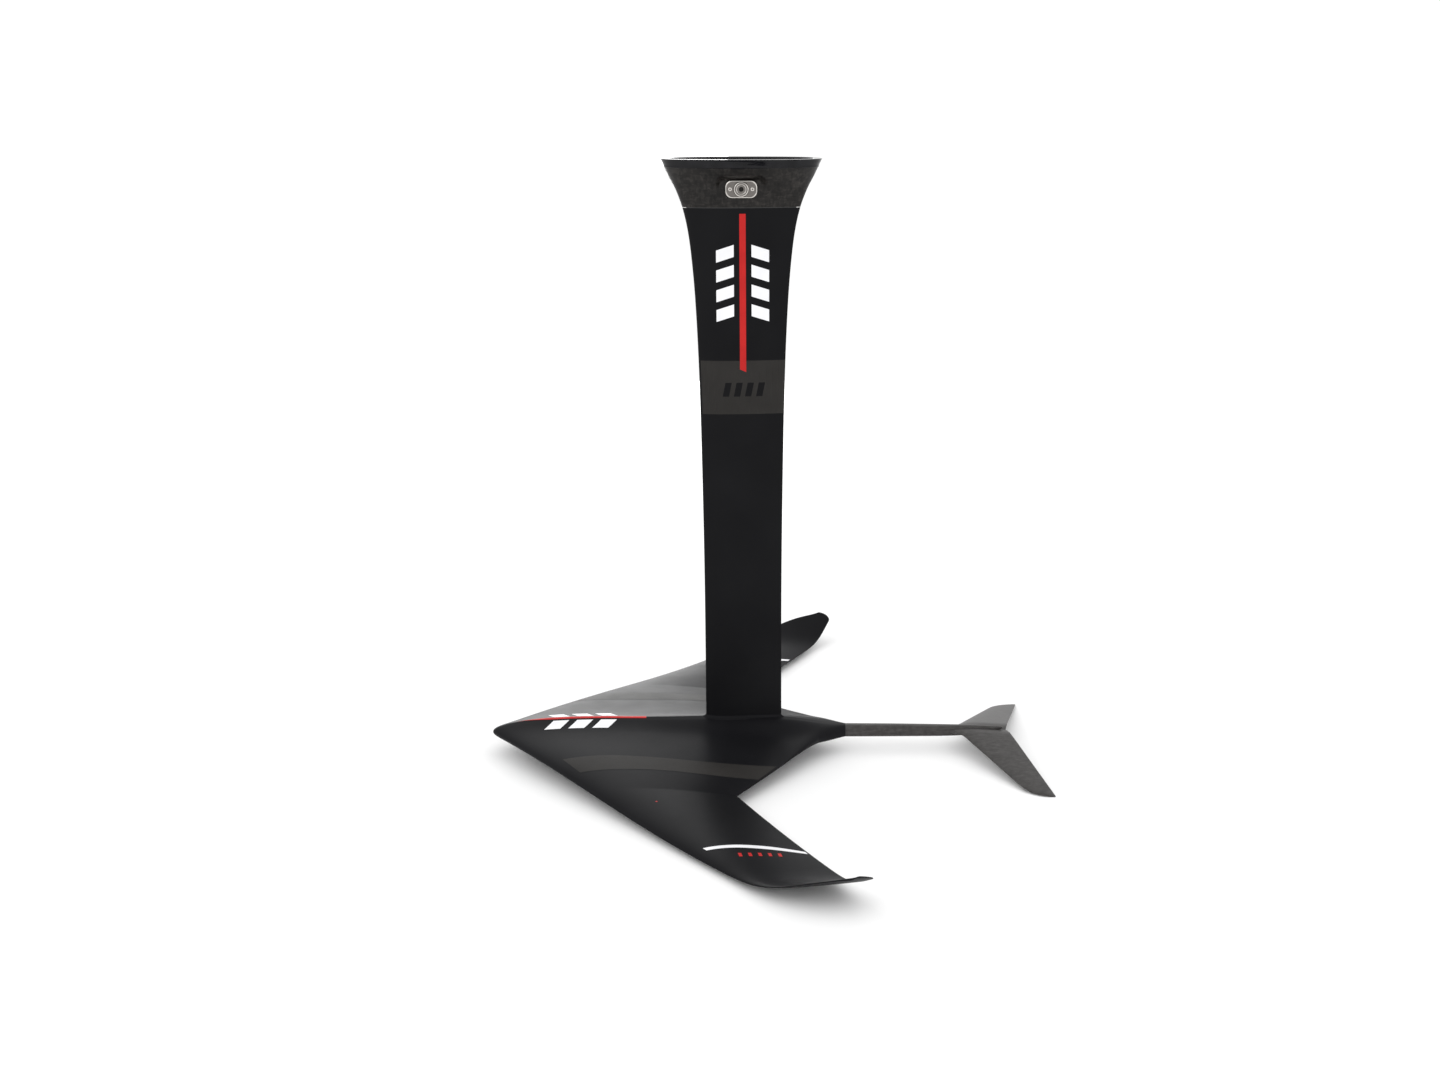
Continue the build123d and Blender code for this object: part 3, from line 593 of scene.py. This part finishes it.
# ---- head hardware ------------------------------------------------------------------------------
def plate_mesh(side):
    """The oblong plate: rounded rim, flat face and a bevelled hole for the nut."""
    count = PLATE_POINTS

    def oblong(inset, y):
        half_x, half_z, corner = PLATE[0] / 2 - inset, PLATE[1] / 2 - inset, PLATE[2]
        row = []
        for i in range(count):
            angle = 2 * math.pi * (i + 0.5) / count
            c, s = math.cos(angle), math.sin(angle)
            reach = 0.0
            for step in even(0.0, half_x * 1.5, 400):
                dx = max(abs(step * c) - half_x + corner, 0.0)
                dz = max(abs(step * s) - half_z + corner, 0.0)
                if math.hypot(dx, dz) <= corner:
                    reach = step
            row.append((reach * c, side * y, -BARREL_DEPTH + reach * s))
        return row

    def hole(radius, y):
        angles = [2 * math.pi * (i + 0.5) / count for i in range(count)]
        return [(radius * math.cos(a), side * y, -BARREL_DEPTH + radius * math.sin(a)) for a in angles]

    rows = [oblong(0.0, PLATE_SEAT), oblong(0.0, PLATE_FACE - 0.9), oblong(0.25, PLATE_FACE - 0.35)]
    rows += [oblong(0.8, PLATE_FACE - 0.05), oblong(1.4, PLATE_FACE), oblong(1.9, PLATE_FACE - 0.5)]
    rows += [hole(PLATE_HOLE + 0.5, PLATE_FACE - 0.5), hole(PLATE_HOLE, PLATE_FACE - 1.1)]
    rows.append(hole(PLATE_HOLE, PLATE_SEAT))
    rows.append(rows[0])
    return strips(rows, True)


def paint_edge_highlight(obj, rows, count):
    """Gives the quads between some pairs of rows the bright steel, as a painted highlight."""
    obj.data.materials.append(BRIGHT_STEEL_AND_HIGHLIGHT)
    for row in rows:
        for face in obj.data.polygons[row * count:(row + 1) * count]:
            face.material_index = 1


def lathe_across(profile, x, z, count=72):
    """A surface turned about a line along Y through (x, z), from (radius, y) pairs."""
    rows = []
    for radius, y in profile:
        row = []
        for i in range(count):
            angle = 2 * math.pi * i / count
            row.append((x + radius * math.cos(angle), y, z + radius * math.sin(angle)))
        rows.append(row)
    return strips(rows, True)


def pins_mesh():
    surfaces = []
    for side in (-1, 1):
        for x in (-PIN_X, PIN_X):
            outline = ((0.0, 22.0), (0.8, 22.0), (1.2, 22.8), (1.6, 23.0), (2.1, 23.0), (2.5, 22.8))
            outline += ((2.6, 22.2), (PIN_RADIUS, 22.1), (PIN_RADIUS, 14.0), (0.0, 14.0))
            surfaces.append(lathe_across([(r, side * y) for r, y in outline], x, -BARREL_DEPTH, 40))
    return join(*surfaces)


def nut_mesh():
    """The barrel nut without its cross hole: stepped ends, each with a key hole in the middle."""
    half = ((0.0, 18.2), (2.9, 18.2), (2.9, 22.7), (3.3, 23.2), (4.2, 23.3), (6.0, 23.5), (6.4, 24.0))
    half += ((6.9, 24.2), (9.0, 24.2), (10.0, 23.9), (10.5, 23.2), (10.5, 20.0), (10.6, 19.9))
    half += ((11.6, 19.9), (12.0, 19.5))
    profile = list(half) + [(r, -y) for r, y in reversed(half)]
    return lathe_across(profile, 0.0, -BARREL_DEPTH, 96)


def paint_nut_highlight(nut):
    """Paints a highlight in bright steel on the sloping rings on the nut's ends; flat rings and walls stay
    brushed.
    """
    nut.data.materials.append(BRIGHT_STEEL_AND_HIGHLIGHT)
    for face in nut.data.polygons:
        across = abs(face.normal.y)
        if abs(face.center.y) > 0.0225 and 0.15 < across < 0.985:
            face.material_index = 1


def cut_round_hole(obj, radius, centre, length):
    """Bores an upright hole right through a piece."""
    bpy.ops.mesh.primitive_cylinder_add(radius=radius * MM, depth=length * MM, vertices=64)
    cutter = bpy.context.object
    cutter.location = Vector(centre) * MM
    cut = obj.modifiers.new("bore", "BOOLEAN")
    cut.object = cutter
    cut.operation = "DIFFERENCE"
    cut.solver = "EXACT"
    bpy.context.view_layer.update()
    made = bpy.data.meshes.new_from_object(obj.evaluated_get(bpy.context.evaluated_depsgraph_get()))
    obj.modifiers.clear()
    obj.data = made
    bpy.data.objects.remove(cutter)
    tidy(obj, 40.0)


# ---- painted marks ------------------------------------------------------------------------------
def mast_mark(corners, side, across=8, along=24):
    """A four-cornered mark on the mast's side; corners are (x, z), in order round it."""
    rows = []
    for v in even(0.0, 1.0, along):
        left = [mix(corners[0][k], corners[3][k], v) for k in (0, 1)]
        right = [mix(corners[1][k], corners[2][k], v) for k in (0, 1)]
        row = []
        for u in even(0.0, 1.0, across):
            x, z = mix(left[0], right[0], u), mix(left[1], right[1], u)
            row.append((x, side * (mast_side(x, z) + PAINT_LIFT), z))
        rows.append(row)
    return strips(rows, False)


def wing_mark(edge_a, edge_b, side, across=6):
    """A ribbon on the wing's upper face between two lines of (x, s) points of equal count."""
    rows = []
    for a, b in zip(edge_a, edge_b):
        row = []
        for u in even(0.0, 1.0, across):
            x, s = mix(a[0], b[0], u), mix(a[1], b[1], u)
            row.append((x, side * s, wing_height(x, abs(s), True) + PAINT_LIFT))
        rows.append(row)
    return strips(rows, False)


def line(points, count):
    """Points evenly along a smooth line through a few (x, s) places."""
    stations = [(i, *p) for i, p in enumerate(points)]
    return [tuple(through(stations, t)) for t in even(0.0, len(points) - 1.0, count)]


# ---- materials ----------------------------------------------------------------------------------
class Paint:
    """A node material in the making: a Principled shader with object coordinates."""

    def __init__(self, name):
        self.material = bpy.data.materials.new(name)
        self.material.use_nodes = True
        self.tree = self.material.node_tree
        self.shader = self.tree.nodes["Principled BSDF"]
        self.where = self.node("ShaderNodeTexCoord").outputs["Object"]

    def node(self, kind, **settings):
        made = self.tree.nodes.new(kind)
        for key, value in settings.items():
            setattr(made, key, value)
        return made

    def link(self, output, target):
        self.tree.links.new(output, target)

    def stretched(self, scale, turn=(0.0, 0.0, 0.0)):
        mapping = self.node("ShaderNodeMapping")
        mapping.inputs["Scale"].default_value = scale
        mapping.inputs["Rotation"].default_value = turn
        self.link(self.where, mapping.inputs["Vector"])
        return mapping.outputs["Vector"]

    def noise(self, scale, detail=3.0, rough=0.5, vector=None):
        noise = self.node("ShaderNodeTexNoise")
        noise.inputs["Scale"].default_value = scale
        noise.inputs["Detail"].default_value = detail
        noise.inputs["Roughness"].default_value = rough
        self.link(vector or self.where, noise.inputs["Vector"])
        return noise.outputs["Fac"]

    def chips(self, scale, vector):
        cells = self.node("ShaderNodeTexVoronoi")
        cells.inputs["Scale"].default_value = scale
        self.link(vector, cells.inputs["Vector"])
        grey = self.node("ShaderNodeSeparateColor")
        self.link(cells.outputs["Color"], grey.inputs["Color"])
        return grey.outputs["Red"]

    def ramp(self, value, stops):
        ramp = self.node("ShaderNodeValToRGB")
        while len(ramp.color_ramp.elements) < len(stops):
            ramp.color_ramp.elements.new(0.5)
        for element, (place, colour) in zip(ramp.color_ramp.elements, stops):
            element.position = place
            element.color = (*colour, 1.0)
        self.link(value, ramp.inputs["Fac"])
        return ramp.outputs["Color"]

    def spread_to(self, value, low, high):
        span = self.node("ShaderNodeMapRange")
        span.inputs["To Min"].default_value = low
        span.inputs["To Max"].default_value = high
        self.link(value, span.inputs["Value"])
        return span.outputs["Result"]

    def blend(self, a, b, kind="MIX", share=0.5):
        mixer = self.node("ShaderNodeMix", data_type="RGBA", blend_type=kind)
        mixer.inputs["Factor"].default_value = share
        self.link(a, mixer.inputs["A"])
        self.link(b, mixer.inputs["B"])
        return mixer.outputs["Result"]

    def bump(self, height, strength, distance):
        bump = self.node("ShaderNodeBump")
        bump.inputs["Strength"].default_value = strength
        bump.inputs["Distance"].default_value = distance
        self.link(height, bump.inputs["Height"])
        self.link(bump.outputs["Normal"], self.shader.inputs["Normal"])

    def colour(self, output):
        self.link(output, self.shader.inputs["Base Color"])

    def roughness(self, output):
        self.link(output, self.shader.inputs["Roughness"])

    def set(self, **values):
        for key, value in values.items():
            self.shader.inputs[key.replace("_", " ")].default_value = value


def satin_black(name, dark, light):
    """Satin paint over carbon: a faint mottle, orange peel and a few dull patches."""
    paint = Paint(name)
    cloud = paint.noise(9.0, 4.0)
    paint.colour(paint.ramp(cloud, ((0.3, dark), (0.75, light))))
    paint.roughness(paint.spread_to(paint.noise(26.0, 5.0, 0.6), 0.34, 0.46))
    paint.bump(paint.noise(900.0, 2.0), 0.05, 0.0004)
    paint.set(Specular_IOR_Level=0.06)
    return paint.material


def gloss_black():
    paint = Paint("gloss_black")
    tone = ((0.3, (0.004, 0.004, 0.005)), (0.8, (0.010, 0.010, 0.012)))
    paint.colour(paint.ramp(paint.noise(60.0, 3.0), tone))
    paint.roughness(paint.spread_to(paint.noise(40.0, 4.0), 0.05, 0.13))
    waves = paint.noise(1.0, 3.0, 0.5, paint.stretched((45.0, 45.0, 160.0)))
    paint.bump(waves, 0.25, 0.0012)
    paint.set(Specular_IOR_Level=0.14, Coat_Weight=0.10, Coat_Roughness=0.03)
    return paint.material


def forged_carbon():
    """Chopped carbon flakes lying in many directions under a satin coat."""
    paint = Paint("forged_carbon")
    flakes_a = paint.chips(1.0, paint.stretched((110.0, 300.0, 420.0), (0.3, 0.5, 0.2)))
    flakes_b = paint.chips(1.0, paint.stretched((360.0, 230.0, 130.0), (0.7, -0.6, 0.4)))
    both = paint.blend(flakes_a, flakes_b, "MIX", 0.5)
    dark, middle, light = (0.0085, 0.0078, 0.0074), (0.0150, 0.0139, 0.0132), (0.030, 0.0278, 0.0262)
    tone = paint.ramp(both, ((0.15, dark), (0.55, middle), (0.95, light)))
    haze = paint.ramp(paint.noise(38.0, 6.0, 0.7), ((0.32, (0.50, 0.49, 0.48)), (0.72, (1.45, 1.40, 1.36))))
    paint.colour(paint.blend(tone, haze, "MULTIPLY", 1.0))
    paint.roughness(paint.spread_to(both, 0.28, 0.5))
    paint.bump(both, 0.10, 0.0003)
    paint.set(Specular_IOR_Level=0.16, Coat_Weight=0.05, Coat_Roughness=0.2)
    return paint.material


def sanded_carbon():
    """Raw carbon sanded along its length: fine streaks over a soft mottle."""
    paint = Paint("sanded_carbon")
    streaks = paint.noise(1.0, 6.0, 0.7, paint.stretched((60.0, 700.0, 700.0)))
    flecks = paint.noise(120.0, 4.0, 0.6)
    tone = paint.ramp(streaks, ((0.3, (0.030, 0.0275, 0.0265)), (0.7, (0.078, 0.074, 0.072))))
    patch = paint.ramp(flecks, ((0.3, (0.55, 0.54, 0.53)), (0.7, (1.0, 1.0, 1.0))))
    paint.colour(paint.blend(tone, patch, "MULTIPLY", 1.0))
    paint.roughness(paint.spread_to(flecks, 0.30, 0.46))
    paint.bump(streaks, 0.12, 0.0003)
    paint.set(Specular_IOR_Level=0.25)
    return paint.material


def brushed_steel(name, dark, light, low, high):
    paint = Paint(name)
    grain = paint.noise(1.0, 5.0, 0.7, paint.stretched((90.0, 90.0, 2600.0)))
    paint.colour(paint.ramp(grain, ((0.25, dark), (0.8, light))))
    paint.roughness(paint.spread_to(grain, low, high))
    paint.bump(grain, 0.10, 0.0002)
    paint.set(Metallic=1.0)
    return paint.material


def band_grey(name, dark, light):
    """Dark grey print with a fine woven look."""
    paint = Paint(name)
    weave = paint.node("ShaderNodeTexChecker")
    weave.inputs["Scale"].default_value = 1.0
    weave.inputs["Color1"].default_value = (*dark, 1.0)
    weave.inputs["Color2"].default_value = (*light, 1.0)
    paint.link(paint.stretched((900.0, 900.0, 900.0), (0.0, 0.78, 0.0)), weave.inputs["Vector"])
    cloud = paint.ramp(paint.noise(18.0, 4.0), ((0.3, (0.82, 0.82, 0.82)), (0.7, (1.0, 1.0, 1.0))))
    paint.colour(paint.blend(weave.outputs["Color"], cloud, "MULTIPLY", 1.0))
    paint.roughness(paint.spread_to(paint.noise(50.0, 3.0), 0.38, 0.50))
    paint.set(Specular_IOR_Level=0.06)
    return paint.material


def print_ink(name, dark, light, low, high):
    """A printed colour with a trace of unevenness."""
    paint = Paint(name)
    paint.colour(paint.ramp(paint.noise(35.0, 4.0), ((0.3, dark), (0.7, light))))
    paint.roughness(paint.spread_to(paint.noise(160.0, 3.0), low, high))
    paint.set(Specular_IOR_Level=0.2)
    return paint.material


def grainy(name, dark, light, scale, low, high):
    """Foam, laminate, bond and rubber: a fine grain in colour, roughness and bump."""
    paint = Paint(name)
    grain = paint.noise(scale, 5.0, 0.65)
    paint.colour(paint.ramp(grain, ((0.3, dark), (0.75, light))))
    paint.roughness(paint.spread_to(grain, low, high))
    paint.bump(grain, 0.2, 0.0004)
    return paint.material


def bond_line():
    """The collar's seam: dark adhesive along the sides, and pale at the two ends as a painted highlight where
    the seam turns round the nose and the aft edge.
    """
    paint = Paint("bond_line")
    parts = paint.node("ShaderNodeSeparateXYZ")
    paint.link(paint.where, parts.inputs["Vector"])
    reach = paint.node("ShaderNodeMath", operation="ABSOLUTE")
    paint.link(parts.outputs["X"], reach.inputs[0])
    # painted highlight: the seam turns pale towards the nose and the aft edge, by its distance from the
    # middle
    share = paint.node("ShaderNodeMapRange")
    share.inputs["From Min"].default_value = 0.0765
    share.inputs["From Max"].default_value = 0.0785
    paint.link(reach.outputs["Value"], share.inputs["Value"])
    paint.colour(paint.ramp(share.outputs["Result"], ((0.0, (0.02, 0.02, 0.02)), (1.0, (0.75, 0.74, 0.72)))))
    paint.roughness(paint.spread_to(paint.noise(500.0, 4.0), 0.45, 0.65))
    paint.bump(paint.noise(900.0, 3.0), 0.2, 0.0003)
    return paint.material


BLACK_MAST = satin_black("satin_black_mast", (0.0060, 0.0060, 0.0068), (0.0088, 0.0088, 0.0098))
BLACK_WING = satin_black("satin_black_wing", (0.0062, 0.0062, 0.0072), (0.0098, 0.0098, 0.0112))
GLOSS = gloss_black()
FORGED = forged_carbon()
SANDED = sanded_carbon()
STEEL = brushed_steel("brushed_steel", (0.11, 0.10, 0.095), (0.24, 0.225, 0.21), 0.22, 0.38)
# bright steel: the pins' own metal, and a painted highlight on the plates' rims and the nut's sloping rings
BRIGHT_STEEL_AND_HIGHLIGHT = brushed_steel("bright_steel_and_highlight", (0.50, 0.48, 0.45), (0.68, 0.65, 0.62), 0.08, 0.16)
MAST_GREY = band_grey("band_grey", (0.024, 0.0225, 0.0215), (0.036, 0.034, 0.032))
RED = print_ink("red_ink", (0.44, 0.010, 0.010), (0.52, 0.014, 0.013), 0.34, 0.46)
WHITE = print_ink("white_ink", (0.80, 0.80, 0.82), (0.88, 0.88, 0.90), 0.34, 0.46)
FOAM = grainy("foam", (0.55, 0.50, 0.36), (0.78, 0.72, 0.55), 900.0, 0.7, 0.9)
LAMINATE = grainy("laminate", (0.02, 0.02, 0.02), (0.06, 0.058, 0.055), 300.0, 0.35, 0.6)
# the collar's seam: dark adhesive, with a painted highlight at its two ends
SEAM_BOND_AND_HIGHLIGHT = bond_line()
SEAL = grainy("seal", (0.008, 0.008, 0.008), (0.02, 0.02, 0.02), 600.0, 0.5, 0.7)

NODE_MATERIALS = {
    "steel": STEEL,
    "foam": FOAM,
    "laminate": LAMINATE,
    "bond_line": SEAM_BOND_AND_HIGHLIGHT,
    "seal": SEAL,
    "satin_black": BLACK_WING,
    "forged_carbon": FORGED,
    "rim_gloss": GLOSS,
    "tail_carbon": SANDED,
}


def paint_frame():
    """Gives every CAD node the material of its slot."""
    slots = {entry["node"]: entry["material_slot"] for entry in frame["record"]["subparts"]}
    for name, obj in frame["nodes"].items():
        for place in obj.material_slots:
            place.material = NODE_MATERIALS[slots[name]]


# ---- building -----------------------------------------------------------------------------------
def build_head():
    rim = piece("head_rim_smooth", *rim_mesh(), GLOSS, "rim_gloss")
    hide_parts("head_rim")
    collar = piece("head_collar_smooth", *collar_mesh(), FORGED, "forged_carbon")
    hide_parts("head_collar")
    for side, name in ((-1, "near"), (1, "far")):
        plate = piece(f"lock_plate_{name}_smooth", *plate_mesh(side), STEEL, "steel", auto_smooth=30.0)
        # rows 2, 3 and 6, the rounded rim and the bevel into the hole, carry a painted highlight in bright
        # steel
        paint_edge_highlight(plate, (2, 3, 6), PLATE_POINTS)
        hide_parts(f"lock_plate_{name}")
    pins = piece("lock_pins_smooth", *pins_mesh(), BRIGHT_STEEL_AND_HIGHLIGHT, "steel", auto_smooth=30.0)
    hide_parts("lock_pins")
    nut = piece("barrel_nut_smooth", *nut_mesh(), STEEL, "steel", "nut", 30.0)
    paint_nut_highlight(nut)
    cut_round_hole(nut, 4.25, (0.0, 0.0, -BARREL_DEPTH), 60.0)
    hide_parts("barrel_nut")


def build_mast():
    blade = piece("mast_blade", *blade_mesh(), BLACK_MAST, "satin_black")
    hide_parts("mast_skin")
    piece("mast_foot_bead", *foot_bead_mesh(), BLACK_WING, "satin_black")


def build_wing():
    wing = piece("front_wing_smooth", *wing_mesh(), BLACK_WING, "satin_black", auto_smooth=50.0)
    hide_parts("front_wing")


def build_tail():
    boom = piece("tail_boom", *boom_mesh(), SANDED, "tail_carbon")
    piece("tail_stabiliser", *stabiliser_mesh(), SANDED, "tail_carbon", auto_smooth=50.0)
    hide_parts("tail_unit")


def build_mast_marks():
    """Red stripe, slanted bars and a grey band with ticks, the same on both sides."""
    for side, name in ((-1, "near"), (1, "far")):
        stripe = ((-3.0, -75.7), (6.0, -75.7), (6.0, -300.5), (-3.0, -296.5))
        piece(f"mast_stripe_{name}", *mast_mark(stripe, side, 4, 60), RED)
        bars = []
        for i in range(BAR_COUNT):
            top = BAR_TOP - i * BAR_PITCH
            low = top - BAR_SLANT
            (a, b), (c, d) = BAR_LEFT, BAR_RIGHT
            bars.append(mast_mark(((a, low), (b, top), (b, top - BAR_HEIGHT), (a, low - BAR_HEIGHT)), side))
            bars.append(mast_mark(((c, top), (d, low), (d, low - BAR_HEIGHT), (c, top - BAR_HEIGHT)), side))
        piece(f"mast_bars_{name}", *join(*bars), WHITE)
        rows = []
        for z in even(*BAND, 30):
            half_chord = through(MAST_STATIONS, -z)[0]
            row = []
            for f in spread(40):
                x = mix(-half_chord + 3.0, half_chord - 0.1, f)
                row.append((x, side * (mast_side(x, z) + BAND_LIFT), z))
            rows.append(row)
        piece(f"mast_band_{name}", *strips(rows, False), MAST_GREY)
        ticks = []
        for x in (-24.0, -8.0, 8.0, 24.0):
            top, low = TICK_LEVELS
            corners = ((x, top), (x + 9.0, top), (x + 5.0, low), (x - 4.0, low))
            ticks.append(mast_mark(corners, side, 4, 6))
        piece(f"mast_ticks_{name}", *join(*ticks), BLACK_MAST, "satin_black")


def build_wing_marks():
    """Red ridge stripe, white slanted bars, grey sweep, white tip line and small red ticks."""
    xs = even(*RIDGE_STRIPE, 60)
    left = [(x, -STRIPE_HALF * smooth((x - RIDGE_STRIPE[0]) / STRIPE_TAPER) - 0.2) for x in xs]
    right = [(x, STRIPE_HALF * smooth((x - RIDGE_STRIPE[0]) / STRIPE_TAPER) + 0.2) for x in xs]
    rows = []
    for a, b in zip(left, right):
        row = [(a[0], mix(a[1], b[1], u)) for u in even(0.0, 1.0, 9)]
        rows.append([(x, y, wing_height(x, abs(y), True) + STRIPE_LIFT) for x, y in row])
    piece("ridge_stripe", *strips(rows, False), RED)
    for side, name in ((-1, "near"), (1, "far")):
        bars = []
        for i in range(3):
            x = -288.0 + i * 36.0
            front = line(((x, 8.0), (x - 6.0, 19.0), (x - 12.0, 30.0)), 14)
            back = [(a + 24.0, b) for a, b in front]
            bars.append(wing_mark(front, back, side, 14))
        piece(f"ridge_bars_{name}", *join(*bars), WHITE)
        sweep = wing_mark(line(SWEEP_AHEAD, 60), line(SWEEP_BEHIND, 60), side, 20)
        piece(f"wing_sweep_{name}", *sweep, MAST_GREY)
        tip_line = wing_mark(line(LINE_INNER, 50), line(LINE_OUTER, 50), side, 6)
        piece(f"tip_line_{name}", *tip_line, WHITE)
        ticks = []
        for i in range(5):
            x, s = -10.0 + i * 13.0, 396.5 - i * 0.6
            ticks.append(wing_mark([(x, s), (x + 2.0, s + 9.5)], [(x + 4.5, s), (x + 6.5, s + 9.5)], side, 4))
        piece(f"tip_ticks_{name}", *join(*ticks), RED)
    dot = []
    for radius in (0.0, DOT_RADIUS):
        ring = [(math.cos(a) * radius, math.sin(a) * radius) for a in even(0.0, 2.0 * math.pi, 17)[:-1]]
        places = [(DOT[0] + x, DOT[1] + y) for x, y in ring]
        dot.append([(x, y, wing_height(x, -y, True) + PAINT_LIFT) for x, y in places])
    piece("wing_dot", *strips(dot, True), RED)


def build_stage():
    floor_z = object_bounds()[0][2] - FLOOR_GAP
    bpy.ops.mesh.primitive_plane_add(size=FLOOR_SIZE, location=(0.0, 0.0, floor_z))
    floor = bpy.context.object
    floor.name = "floor"
    paint = Paint("floor_paper")
    paint.colour(paint.ramp(paint.noise(2.0, 2.0), ((0.3, (0.94, 0.94, 0.94)), (0.7, (0.95, 0.95, 0.95)))))
    paint.set(Roughness=0.9)
    floor.data.materials.append(paint.material)
    world = bpy.context.scene.world or bpy.data.worlds.new("studio")
    bpy.context.scene.world = world
    world.use_nodes = True
    world.node_tree.nodes["Background"].inputs["Color"].default_value = (1.0, 1.0, 1.0, 1.0)
    world.node_tree.nodes["Background"].inputs["Strength"].default_value = SKY_STRENGTH
    lamps = (  # name, place and size in metres, power in watts
        ("key", (-1.6, -2.2, 1.6), 2.2, 14.0),
        ("fill", (2.2, -1.8, 0.6), 2.0, 6.0),
        ("back", (-0.9, 3.0, -0.35), 1.8, 34.0),
    )
    for name, place, size, power in lamps:
        light = bpy.data.lights.new(name, "AREA")
        light.size = size
        light.energy = power
        lamp = bpy.data.objects.new(name, light)
        lamp.location = place
        aim = Vector((0.0, 0.0, -0.5)) - lamp.location
        lamp.rotation_euler = aim.to_track_quat("-Z", "Y").to_euler()
        bpy.context.scene.collection.objects.link(lamp)
    bpy.context.scene.view_settings.view_transform = "Standard"


def build_camera():
    camera = bpy.data.cameras.new("camera")
    camera.sensor_width = 36.0
    camera.lens = 43.425
    camera.shift_x = -0.0375
    place = bpy.data.objects.new("camera", camera)
    place.location = (-0.0077, -2.480, 0.1212)
    place.rotation_euler = (math.radians(74.798), 0.0, math.radians(-1.241))
    bpy.context.scene.collection.objects.link(place)
    bpy.context.scene.camera = place


build_camera()
paint_frame()
build_head()
build_mast()
build_wing()
build_tail()
build_mast_marks()
build_wing_marks()
build_stage()
